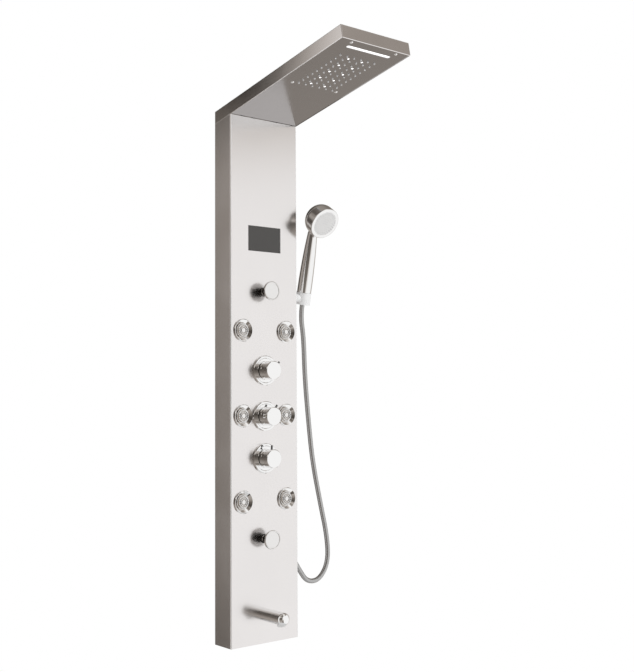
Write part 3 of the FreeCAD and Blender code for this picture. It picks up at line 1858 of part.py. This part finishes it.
check_objects()
os.makedirs("parts", exist_ok=True)
for node in NODES:
    node.Shape.exportStep(f"parts/{node.Label}.step")
print(len(NODES), "nodes,", sum(len(node.Shape.Solids) for node in NODES), "solids")
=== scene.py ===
import json
import math
import bpy
from mathutils import Matrix, Vector


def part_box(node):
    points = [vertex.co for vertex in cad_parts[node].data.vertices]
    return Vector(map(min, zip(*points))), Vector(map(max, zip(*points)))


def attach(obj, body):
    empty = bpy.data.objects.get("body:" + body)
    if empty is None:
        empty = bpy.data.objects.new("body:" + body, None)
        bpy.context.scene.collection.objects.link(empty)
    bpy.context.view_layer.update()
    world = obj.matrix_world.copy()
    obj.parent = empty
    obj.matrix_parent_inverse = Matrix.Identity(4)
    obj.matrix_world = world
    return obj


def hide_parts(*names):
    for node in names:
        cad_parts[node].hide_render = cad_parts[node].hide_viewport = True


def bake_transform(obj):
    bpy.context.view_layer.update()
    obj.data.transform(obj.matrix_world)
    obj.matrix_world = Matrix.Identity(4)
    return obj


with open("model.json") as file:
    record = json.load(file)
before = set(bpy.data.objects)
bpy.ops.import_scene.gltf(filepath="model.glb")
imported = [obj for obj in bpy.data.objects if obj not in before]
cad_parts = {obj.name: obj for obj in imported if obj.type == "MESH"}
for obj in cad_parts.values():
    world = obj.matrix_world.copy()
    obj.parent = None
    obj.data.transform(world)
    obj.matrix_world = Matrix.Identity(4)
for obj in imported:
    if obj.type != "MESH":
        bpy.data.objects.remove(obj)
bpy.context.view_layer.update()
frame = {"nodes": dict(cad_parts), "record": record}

NODES = frame["nodes"]
SCENE = bpy.context.scene


# ---------------------------------------------------------------- camera

CAMERA_PLACE = Vector((-1.5505, -2.1366, 0.5992))
CAMERA_AIM = Vector((0.19401, -0.03, 0.74081))
CAMERA_ROLL = math.radians(-0.29)
CAMERA_LENS = 57.24
CAMERA_SENSOR = 36
CAMERA_NEAR = 0.05

camera_data = bpy.data.cameras.new("camera")
camera_data.lens = CAMERA_LENS
camera_data.sensor_width = CAMERA_SENSOR
camera_data.clip_start = CAMERA_NEAR
camera = bpy.data.objects.new("camera", camera_data)
SCENE.collection.objects.link(camera)
gaze = (CAMERA_AIM - CAMERA_PLACE).to_track_quat("-Z", "Y").to_matrix().to_4x4()
camera.matrix_world = Matrix.Translation(CAMERA_PLACE) @ gaze @ Matrix.Rotation(CAMERA_ROLL, 4, "Z")
SCENE.camera = camera
SCENE.view_settings.view_transform = "Standard"


# ---------------------------------------------------------------- material tools

NICKEL_LEVEL = 0.80
PLATE_LEVEL = 0.43
# The share of its brightness that worn metal and shaded plastic keeps.
WORN = 0.97
SHADED = 0.94
# How often broad clouds, water marks, waves and blotches come in a metre.
CLOUD_SCALE = 7.0
MARK_SCALE = 60.0
WAVE_SCALE = 18.0
BLOTCH_SCALE = 25.0
# How often brush lines and grains come in a metre, across, out and up.
UPRIGHT_BRUSH = (1500, 1500, 3)
FORWARD_BRUSH = (1500, 3, 1500)
TURNED_BRUSH = (900, 900, 9)
ROLLED_SHEET = (9, 700, 700)
FINE_GRAIN = (900, 900, 900)
CAST_GRAIN = (300, 300, 300)
# The part of its range that a noise is spread from, alone and as the sum of two.
NOISE_SPAN = (0.3, 0.7)
MARK_SPAN = (0.35, 0.7)
SUM_SPAN = (0.7, 1.3)
# How far the roughness varies: two changes for satin and plastic, two factors for plating.
SATIN_CHANGE = (-0.03, 0.04)
PLASTIC_CHANGE = (-0.04, 0.05)
PLATING_FACTORS = (0.8, 1.6)
# The strength and depth in metres of a bump.
BRUSH_BUMP = (0.018, 0.0001)
WAVE_BUMP = (0.03, 0.0005)
GRAIN_DEPTH = 0.0002
# The column's folds, which get a painted highlight, lie past one place across and one place out,
# with a short fade.
FOLD_ACROSS = 0.0979
FOLD_OUT = 0.0656
FOLD_FADE = 0.0004
FOLD_ROUGHNESS = 0.6
FOLD_METAL = 0.2


class Tree:
    """A node tree with short ways to add to it."""

    def __init__(self, tree):
        self.tree = tree

    def feed(self, socket, value):
        """Link a socket to another one, or give it a plain value."""
        if isinstance(value, bpy.types.NodeSocket):
            self.tree.links.new(value, socket)
        else:
            socket.default_value = value

    def add(self, kind, inputs=None, **settings):
        node = self.tree.nodes.new(kind)
        for key, value in settings.items():
            setattr(node, key, value)
        for key, value in (inputs or {}).items():
            self.feed(node.inputs[key], value)
        return node


class Nodes(Tree):
    """A material with its Principled shader."""

    def __init__(self, name):
        self.material = bpy.data.materials.new(name)
        self.material.use_nodes = True
        super().__init__(self.material.node_tree)
        self.shader = self.tree.nodes["Principled BSDF"]
        self.coords = None

    def set(self, **values):
        for key, value in values.items():
            self.feed(self.shader.inputs[key.replace("_", " ")], value)

    def show(self, node):
        """Make the surface with another shader node."""
        self.feed(self.tree.nodes["Material Output"].inputs["Surface"], node.outputs[0])

    def place(self, scale=(1, 1, 1)):
        """Object coordinates, stretched."""
        if self.coords is None:
            self.coords = self.add("ShaderNodeTexCoord")
        inputs = {"Vector": self.coords.outputs["Object"], "Scale": scale}
        return self.add("ShaderNodeMapping", inputs).outputs["Vector"]

    def apart(self):
        """The object coordinates one by one: X across, Y towards the wall, Z up."""
        return self.add("ShaderNodeSeparateXYZ", {0: self.place()}).outputs

    def noise(self, vector, scale, detail=3.0, roughness=0.6):
        node = self.add(
            "ShaderNodeTexNoise",
            {"Vector": vector, "Scale": scale, "Detail": detail, "Roughness": roughness},
        )
        return node.outputs["Fac"]

    def strokes(self, stretch):
        """The fine lines of a brush, or an even grain where all ways are alike."""
        return self.noise(self.place(stretch), 1.0, 4.0, 0.7)

    def ramp(self, factor, low, high, start=0.0, end=1.0):
        """The factor between start and end, spread from low to high."""
        node = self.add(
            "ShaderNodeMapRange",
            {"Value": factor, "From Min": start, "From Max": end, "To Min": low, "To Max": high},
        )
        return node.outputs["Result"]

    def mix(self, factor, first, second):
        """A colour between two; the numbers are the node's colour sockets."""
        inputs = {0: factor, 6: first, 7: second}
        return self.add("ShaderNodeMix", inputs, data_type="RGBA").outputs[2]

    def bump(self, height, strength, distance):
        inputs = {"Height": height, "Strength": strength, "Distance": distance}
        self.set(Normal=self.add("ShaderNodeBump", inputs).outputs["Normal"])


def grey(level, warm=0.0):
    return (level * (1 + warm), level, level * (1 - warm), 1.0)


def nickel(level):
    return (level * 1.018, level * 0.992, level * 0.985, 1.0)


def golden(level):
    return (level, level * 0.73, level * 0.33, 1.0)


def brushed(name, level, stretch, roughness=0.3, tint=nickel):
    """Satin metal: fine brush lines along one way, cloudy wear at hand's size."""
    made = Nodes(name)
    lines = made.strokes(stretch)
    clouds = made.noise(made.place(), CLOUD_SCALE, 3.0)
    both = made.add("ShaderNodeMath", {0: lines, 1: clouds}, operation="ADD")
    wear = made.ramp(clouds, 0.0, 1.0, *NOISE_SPAN)
    low, high = (roughness + change for change in SATIN_CHANGE)
    made.set(
        Base_Color=made.mix(wear, tint(level * WORN), tint(level)), Metallic=1.0,
        Roughness=made.ramp(both.outputs[0], low, high, *SUM_SPAN),
    )
    made.bump(lines, *BRUSH_BUMP)
    return made


def plated(name, level=0.9, roughness=0.05):
    """Polished plating with faint water marks."""
    made = Nodes(name)
    marks = made.noise(made.place(), MARK_SCALE, 4.0)
    waves = made.noise(made.place(), WAVE_SCALE, 1.0)
    low, high = (roughness * factor for factor in PLATING_FACTORS)
    made.set(
        Base_Color=made.mix(marks, grey(level * WORN), grey(level)), Metallic=1.0,
        Roughness=made.ramp(marks, low, high, *MARK_SPAN),
    )
    made.bump(waves, *WAVE_BUMP)
    return made.material


def moulded(name, colour, roughness=0.4, grain=900.0, strength=0.08):
    """Moulded plastic or rubber with a fine grain."""
    made = Nodes(name)
    fine = made.noise(made.place(), grain, 2.0)
    broad = made.noise(made.place(), BLOTCH_SCALE, 2.0)
    dark = tuple(part * SHADED for part in colour[:3]) + (1.0,)
    low, high = (roughness + change for change in PLASTIC_CHANGE)
    made.set(
        Base_Color=made.mix(broad, dark, colour),
        Roughness=made.ramp(broad, low, high, *NOISE_SPAN),
    )
    made.bump(fine, strength, GRAIN_DEPTH)
    return made.material


def glowing(name, scale, dark, pale, roughness, strength):
    """Clear or white plastic that shines by itself, with faint blotches."""
    made = Nodes(name)
    made.set(
        Base_Color=made.mix(made.noise(made.place(), scale), grey(dark), grey(pale)),
        Roughness=roughness, Emission_Color=grey(1.0), Emission_Strength=strength,
    )
    return made.material


def folded(made):
    """Paint a pale highlight along the column's folds: the metal turns white, dull and less
    metallic there.
    """
    place = made.apart()
    side = made.add("ShaderNodeMath", {0: place["X"]}, operation="ABSOLUTE").outputs[0]
    beyond = made.ramp(side, 0.0, 1.0, FOLD_ACROSS - FOLD_FADE, FOLD_ACROSS)
    ahead = made.ramp(place["Y"], 1.0, 0.0, -FOLD_OUT, FOLD_FADE - FOLD_OUT)
    fold_highlight = made.add("ShaderNodeMath", {0: beyond, 1: ahead}, operation="MULTIPLY").outputs[0]
    before = made.shader.inputs["Roughness"].links[0].from_socket
    colour = made.shader.inputs["Base Color"].links[0].from_socket
    mixed = {0: fold_highlight, 2: before, 3: FOLD_ROUGHNESS}
    # Painted highlight: along the folds the colour is mixed to white.
    made.set(
        Roughness=made.add("ShaderNodeMix", mixed, data_type="FLOAT").outputs[0],
        Metallic=made.ramp(fold_highlight, 1.0, FOLD_METAL),
        Base_Color=made.mix(fold_highlight, colour, grey(1.0)),
    )
    return made


def painted_shade_behind(name, stretch, start, end, dark):
    """A look with painted shade: it turns dark towards the wall, from one depth to another."""
    made = Nodes(name)
    shade = made.ramp(made.apart()["Y"], 0.0, 1.0, start, end)
    marks = made.strokes(stretch)
    pale = made.mix(marks, grey(NICKEL_LEVEL * WORN, 0.012), grey(NICKEL_LEVEL, 0.008))
    made.set(
        Base_Color=made.mix(shade, pale, grey(dark, 0.1)), Metallic=1.0,
        Roughness=made.ramp(marks, 0.1, 0.18, *NOISE_SPAN),
    )
    return made.material


# ---------------------------------------------------------------- materials

# The depths between which a look turns dark with painted shade, behind the knobs' rims and down in
# the jets' grooves.
KNOB_RIM_BACK = (-0.0912, -0.0906)
JET_GROOVES = (-0.0683, -0.0676)
MATERIALS = {
    "nickel_column": folded(brushed("nickel_column", NICKEL_LEVEL, UPRIGHT_BRUSH, 0.2)).material,
    "nickel_head": brushed("nickel_head", NICKEL_LEVEL, FORWARD_BRUSH, 0.12).material,
    "nickel_plate": brushed("nickel_plate", PLATE_LEVEL, FORWARD_BRUSH, 0.15).material,
    "bracket_steel": brushed("bracket_steel", 0.6, ROLLED_SHEET, 0.42).material,
    "white_plastic": moulded("white_plastic", (0.86, 0.86, 0.85, 1.0), 0.3),
    "circuit_board": moulded("circuit_board", (0.02, 0.16, 0.05, 1.0), 0.35, 500.0, 0.2),
    "grey_plastic": moulded("grey_plastic", grey(0.3)),
    "grey_rubber": moulded("grey_rubber", grey(0.42), 0.6, 1500.0, 0.1),
    "black_window": moulded("black_window", grey(0.053, 0.06), 0.07, 200.0, 0.004),
    "spray_face": moulded("spray_face", grey(0.9, 0.008), 0.42, 1200.0, 0.06),
    "pale_rubber": moulded("pale_rubber", grey(0.85, 0.01), 0.5, 1500.0, 0.1),
    "white_collar": moulded("white_collar", grey(0.96), 0.55, 900.0, 0.05),
    "chrome": plated("chrome"),
    "dark_metal": plated("dark_metal", 0.2, 0.12),
    "hose_metal": plated("hose_metal", 0.46, 0.14),
    "brass": brushed("brass", 0.62, CAST_GRAIN, 0.35, golden).material,
    "lamp_lens": glowing("lamp_lens", 300.0, 0.85, 0.95, 0.15, 1.5),
    "lit_plastic": glowing("lit_plastic", 40.0, 0.8, 0.88, 0.3, 0.7),
    # Painted shade darkens the backs of the knob rims and the jets' grooves.
    "stop_knob": painted_shade_behind("stop_knob", TURNED_BRUSH, *KNOB_RIM_BACK, 0.03),
    "jet_ball": painted_shade_behind("jet_ball", FINE_GRAIN, *JET_GROOVES, 0.4),
}

SLOT_LOOKS = {"brushed_nickel": "nickel_column"}
NODE_LOOKS = {
    "head_top_shell": "nickel_head",
    "head_spray_plate": "nickel_plate",
    "waterfall_outlet": "lit_plastic",
    "rain_nozzles": "pale_rubber",
    "hand_shower_holder": "white_collar",
    "upper_stop_knob": "stop_knob",
    "lower_stop_knob": "stop_knob",
}
NODE_LOOKS.update({name: "jet_ball" for name in NODES if name.endswith("_ball")})
for entry in frame["record"]["subparts"]:
    name, slot = entry["node"], entry["material_slot"]
    look_name = NODE_LOOKS.get(name, SLOT_LOOKS.get(slot, slot))
    NODES[name].data.materials.clear()
    NODES[name].data.materials.append(MATERIALS[look_name])


# ---------------------------------------------------------------- the hose

HOSE_DIAMETER = 0.012
HOSE_ROUTE = [
    (0.148, -0.0275, 0.8204),
    (0.148, -0.0205, 0.7912),
    (0.158, -0.020, 0.735),
    (0.161, -0.020, 0.639),
    (0.171, -0.021, 0.530),
    (0.183, -0.022, 0.424),
    (0.207, -0.023, 0.317),
    (0.229, -0.024, 0.228),
    (0.233, -0.023, 0.162),
    (0.204, -0.022, 0.120),
    (0.164, -0.021, 0.120),
    (0.139, -0.021, 0.153),
    (0.120, -0.021, 0.182),
    (0.120, -0.021, 0.212),
]
WINDING_PITCH = 0.0024
WINDING_DEPTH = 0.0003
DIP_SHARPNESS = 3
RINGS_A_TURN = 6
POINTS_A_RING = 24
LINE_STEPS = 24


def spline_points():
    """The hose's smooth line, read from the NURBS spline of its route."""
    curve = bpy.data.curves.new("hose_line", "CURVE")
    curve.dimensions = "3D"
    curve.resolution_u = LINE_STEPS
    spline = curve.splines.new("NURBS")
    spline.points.add(len(HOSE_ROUTE) - 1)
    for point, place in zip(spline.points, HOSE_ROUTE):
        point.co = (*place, 1)
    spline.order_u = 3
    spline.use_endpoint_u = True
    holder = bpy.data.objects.new("hose_line", curve)
    SCENE.collection.objects.link(holder)
    bpy.context.view_layer.update()
    mesh = bpy.data.meshes.new_from_object(holder)
    points = [vertex.co.copy() for vertex in mesh.vertices]
    bpy.data.objects.remove(holder)
    bpy.data.meshes.remove(mesh)
    return points


def walk(points, step):
    """Points at even steps along a line, each with its direction."""
    lengths = [0.0]
    for a, b in zip(points, points[1:]):
        lengths.append(lengths[-1] + (b - a).length)
    count = max(2, round(lengths[-1] / step))
    made = []
    part = 0
    for i in range(count + 1):
        at = lengths[-1] * i / count
        while part < len(points) - 2 and lengths[part + 1] < at:
            part += 1
        share = (at - lengths[part]) / max(lengths[part + 1] - lengths[part], 1e-9)
        here = points[part].lerp(points[part + 1], share)
        made.append((at, here))
    ways = []
    for i in range(count + 1):
        before = made[max(i - 1, 0)][1]
        after = made[min(i + 1, count)][1]
        ways.append((after - before).normalized())
    return [(at, here, way) for (at, here), way in zip(made, ways)]


def wound_hose():
    """A mesh tube with the winding of a metal hose, along the spline."""
    line = spline_points()
    steps = walk(line, WINDING_PITCH / RINGS_A_TURN)
    verts, faces = [], []
    side = steps[0][2].orthogonal().normalized()
    for at, here, way in steps:
        side = (side - way * side.dot(way)).normalized()
        up = way.cross(side)
        for j in range(POINTS_A_RING):
            angle = 2 * math.pi * j / POINTS_A_RING
            phase = (at / WINDING_PITCH + j / POINTS_A_RING) % 1.0
            dip = max(0.0, math.cos(2 * math.pi * phase)) ** DIP_SHARPNESS
            radius = HOSE_DIAMETER / 2 - WINDING_DEPTH * dip
            verts.append(here + (side * math.cos(angle) + up * math.sin(angle)) * radius)
    for i in range(len(steps) - 1):
        for j in range(POINTS_A_RING):
            k = (j + 1) % POINTS_A_RING
            a, b = i * POINTS_A_RING, (i + 1) * POINTS_A_RING
            faces.append((a + j, a + k, b + k, b + j))
    faces.append(tuple(reversed(range(POINTS_A_RING))))
    last = (len(steps) - 1) * POINTS_A_RING
    faces.append(tuple(range(last, last + POINTS_A_RING)))
    mesh = bpy.data.meshes.new("wound_hose")
    mesh.from_pydata(verts, [], faces)
    mesh.shade_smooth()
    mesh.materials.append(MATERIALS["hose_metal"])
    piece = bpy.data.objects.new("wound_hose", mesh)
    SCENE.collection.objects.link(piece)
    return piece, line


hose, hose_line = wound_hose()
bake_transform(hose)
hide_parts("shower_hose")


# ---------------------------------------------------------------- spray nubs

NUB_RADIUS = 0.0011
NUB_SIDES = 10
NUB_LEVELS = ((1.0, -0.3), (0.9, 0.35), (0.55, 0.75), (0.0, 0.85))


def nubs(name, centre, facing, rings, body, slot):
    """Soft round nubs in rings on a spray face, as one mesh that rides on a body."""
    across = facing.orthogonal().normalized()
    along = facing.cross(across)
    verts, faces = [], []
    for ring_radius, count in rings:
        for i in range(count):
            turn = 2 * math.pi * i / count
            middle = centre + (across * math.cos(turn) + along * math.sin(turn)) * ring_radius
            first = len(verts)
            for share, rise in NUB_LEVELS[:-1]:
                for j in range(NUB_SIDES):
                    angle = 2 * math.pi * j / NUB_SIDES
                    side = across * math.cos(angle) + along * math.sin(angle)
                    verts.append(middle + (side * share + facing * rise) * NUB_RADIUS)
            verts.append(middle + facing * NUB_LEVELS[-1][1] * NUB_RADIUS)
            for level in range(len(NUB_LEVELS) - 2):
                for j in range(NUB_SIDES):
                    k = (j + 1) % NUB_SIDES
                    a, b = first + level * NUB_SIDES, first + (level + 1) * NUB_SIDES
                    faces.append((a + j, a + k, b + k, b + j))
            last = first + (len(NUB_LEVELS) - 2) * NUB_SIDES
            for j in range(NUB_SIDES):
                faces.append((last + j, last + (j + 1) % NUB_SIDES, len(verts) - 1))
    mesh = bpy.data.meshes.new(name)
    mesh.from_pydata(verts, [], faces)
    mesh.shade_smooth()
    mesh.materials.append(MATERIALS[slot])
    piece = bpy.data.objects.new(name, mesh)
    SCENE.collection.objects.link(piece)
    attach(piece, body)


# Rings are given as the radius and the count of nubs.
FACE_MIDDLE = Vector((0.148, -0.1193, 1.0145))
FACE_DROP = math.radians(34)
FACE_RINGS = ((0.0, 1), (0.006, 6), (0.012, 12), (0.018, 18), (0.024, 24), (0.0285, 28))
JET_FACE = -0.0685
JET_RINGS = ((0.0085, 12), (0.0127, 18))

nubs(
    "hand_shower_nubs", FACE_MIDDLE, Vector((0, -math.cos(FACE_DROP), -math.sin(FACE_DROP))),
    FACE_RINGS, "hand_shower", "grey_rubber",
)
for name in NODES:
    if name.startswith("jet_") and name.endswith("_ball"):
        low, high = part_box(name)
        middle = Vector(((low[0] + high[0]) / 2, JET_FACE, (low[2] + high[2]) / 2))
        nubs(
            name.replace("_ball", "_nubs"), middle, Vector((0, -1, 0)),
            JET_RINGS, name.removesuffix("_ball"), "grey_rubber",
        )


# ---------------------------------------------------------------- floor and world

FLOOR_LEVEL = -0.25
FLOOR_HALF = 12
FLOOR_COLOUR = 0.85
FLOOR_ROUGHNESS = 0.9
ROOM_LEVEL = 0.55

floor_mesh = bpy.data.meshes.new("floor")
floor_mesh.from_pydata(
    [(x, y, FLOOR_LEVEL) for x, y in (
        (-FLOOR_HALF, -FLOOR_HALF), (FLOOR_HALF, -FLOOR_HALF),
        (FLOOR_HALF, FLOOR_HALF), (-FLOOR_HALF, FLOOR_HALF))],
    [], [(0, 1, 2, 3)],
)
floor = bpy.data.objects.new("floor", floor_mesh)
SCENE.collection.objects.link(floor)
floor_look = Nodes("floor")
floor_look.set(Base_Color=grey(FLOOR_COLOUR), Roughness=FLOOR_ROUGHNESS)
ray = floor_look.add("ShaderNodeLightPath").outputs
glow = floor_look.add("ShaderNodeEmission", {"Color": grey(1.0), "Strength": 1.0})
floor_look.show(floor_look.add("ShaderNodeMixShader", {
    0: ray["Is Camera Ray"], 1: floor_look.shader.outputs[0], 2: glow.outputs[0],
}))
floor_mesh.materials.append(floor_look.material)

# The world is white where it is seen and dimmer where it only lights.
world = bpy.data.worlds.new("studio")
SCENE.world = world
world.use_nodes = True
world.node_tree.nodes.clear()
sky = Tree(world.node_tree)
ray = sky.add("ShaderNodeLightPath").outputs
seen = sky.add("ShaderNodeMath", {
    0: ray["Is Camera Ray"], 1: ray["Is Glossy Ray"],
}, operation="MAXIMUM")
clear = sky.add("ShaderNodeMath", {
    0: seen.outputs[0], 1: ray["Is Transmission Ray"],
}, operation="MAXIMUM")
dim = sky.add("ShaderNodeBackground", {"Color": grey(1.0), "Strength": ROOM_LEVEL})
white = sky.add("ShaderNodeBackground", {"Color": grey(1.0)})
mixed = sky.add("ShaderNodeMixShader", {
    0: clear.outputs[0], 1: dim.outputs[0], 2: white.outputs[0],
})
sky.add("ShaderNodeOutputWorld", {"Surface": mixed.outputs[0]})


# ---------------------------------------------------------------- studio room

# The studio as polished metal shows it, seen by glossy rays alone. The profile gives the
# radius and height of each level, from the floor near the panel over the wall to the middle
# of the ceiling. Each line of levels starts with an angle, 0 for the front, 90 for the right.
ROOM_FOOT = FLOOR_LEVEL + 0.02
ROOM_PROFILE = (
    (0.35, ROOM_FOOT), (3.0, ROOM_FOOT), (3.0, 1.25), (3.0, 1.75), (3.0, 2.2), (3.0, 3.1),
    (3.0, 4.0), (0.3, 4.0),
)
ROOM_MIDDLE = -0.1
ROOM_WARM = (1.16, 1.0, 0.86, 1.0)
ROOM_LEVELS = [
    (-104, (1.0, 1.0, 1.0, 1.0, 0.35, 0.4, 0.8, 0.8)),
    (-96, (0.4, 0.18, 0.08, 0.6, 0.6, 0.3, 0.2, 0.4)),
    (-50, (0.4, 0.18, 0.08, 0.6, 0.6, 0.3, 0.2, 0.4)),
    (-43, (0.4, 0.18, 0.06, 0.06, 0.1, 0.1, 0.1, 0.4)),
    (-26, (0.4, 0.18, 0.06, 0.06, 0.1, 0.1, 0.1, 0.4)),
    (-18, (0.03, 0.6, 0.9, 1.0, 0.6, 0.05, 0.1, 0.4)),
    (2, (0.1, 1.0, 1.0, 1.0, 1.0, 0.4, 0.3, 0.5)),
    (12, (1.0, 1.0, 1.0, 1.0, 1.0, 1.0, 1.0, 0.9)),
    (24, (1.0, 1.0, 1.0, 1.0, 1.0, 1.0, 1.0, 0.9)),
    (32, (1.0, 1.0, 1.0, 1.0, 0.4, 0.33, 0.8, 0.9)),
    (75, (1.0, 1.0, 1.0, 1.0, 0.3, 0.26, 0.5, 0.8)),
    (95, (0.9, 0.45, 0.41, 0.4, 0.3, 0.2, 0.2, 0.6)),
    (110, (0.36, 0.42, 0.42, 0.36, 0.3, 0.2, 0.2, 0.4)),
    (165, (0.3, 0.38, 0.36, 0.25, 0.05, 0.02, 0.1, 0.3)),
    (185, (0.05, 0.05, 0.04, 0.03, 0.01, 0.01, 0.05, 0.3)),
    (205, (0.05, 0.05, 0.05, 0.05, 0.01, 0.01, 0.05, 0.3)),
    (212, (0.09, 0.17, 0.23, 0.25, 0.01, 0.01, 0.05, 0.3)),
    (220, (0.09, 0.17, 0.23, 0.25, 0.01, 0.01, 0.05, 0.3)),
    (228, (1.0, 1.0, 1.0, 1.0, 0.9, 0.6, 0.3, 0.4)),
    (256, (1.0, 1.0, 1.0, 1.0, 0.35, 0.4, 0.8, 0.8)),
]


def studio_room():
    """A round room whose levels glow, as one mesh."""
    verts, faces, levels = [], [], []
    rows = len(ROOM_PROFILE)
    for angle, row in ROOM_LEVELS:
        turn = math.radians(angle)
        for (radius, height), level in zip(ROOM_PROFILE, row):
            verts.append((radius * math.sin(turn), ROOM_MIDDLE - radius * math.cos(turn), height))
            levels.append(level)
    for i in range(len(ROOM_LEVELS) - 1):
        for j in range(rows - 1):
            a, b = i * rows + j, (i + 1) * rows + j
            faces.append((a, b, b + 1, a + 1))
    mesh = bpy.data.meshes.new("studio_room")
    mesh.from_pydata(verts, [], faces)
    mesh.attributes.new("level", "FLOAT", "POINT").data.foreach_set("value", levels)
    made = Nodes("studio_room")
    level = made.add("ShaderNodeAttribute", attribute_name="level").outputs["Fac"]
    colour = made.mix(level, ROOM_WARM, grey(1.0, 0.005))
    made.show(made.add("ShaderNodeEmission", {"Color": colour, "Strength": level}))
    mesh.materials.append(made.material)
    room = bpy.data.objects.new("studio_room", mesh)
    SCENE.collection.objects.link(room)
    room.visible_camera = False
    room.visible_diffuse = False
    room.visible_shadow = False
    room.visible_transmission = False


studio_room()


# ---------------------------------------------------------------- lamps

LAMP_AIM = Vector((0, -0.1, 0.7))
# Each lamp has its place, the width and height of its face, and its watts.
LAMPS = {
    "key_lamp": ((1.6, -2.4, 2.2), (1.6, 2.0), 40),
    "fill_lamp": ((-2.2, -1.6, 1.6), (1.4, 1.8), 12),
}


def soft_lamp(name, place, size, watts):
    """A soft rectangle of light, aimed at the panel and not seen in it."""
    data = bpy.data.lights.new(name, "AREA")
    data.shape = "RECTANGLE"
    data.size, data.size_y = size
    data.energy = watts
    lamp = bpy.data.objects.new(name, data)
    turn = (LAMP_AIM - place).to_track_quat("-Z", "Y").to_matrix().to_4x4()
    lamp.matrix_world = Matrix.Translation(place) @ turn
    lamp.visible_glossy = False
    SCENE.collection.objects.link(lamp)


for name, (place, size, watts) in LAMPS.items():
    soft_lamp(name, Vector(place), size, watts)
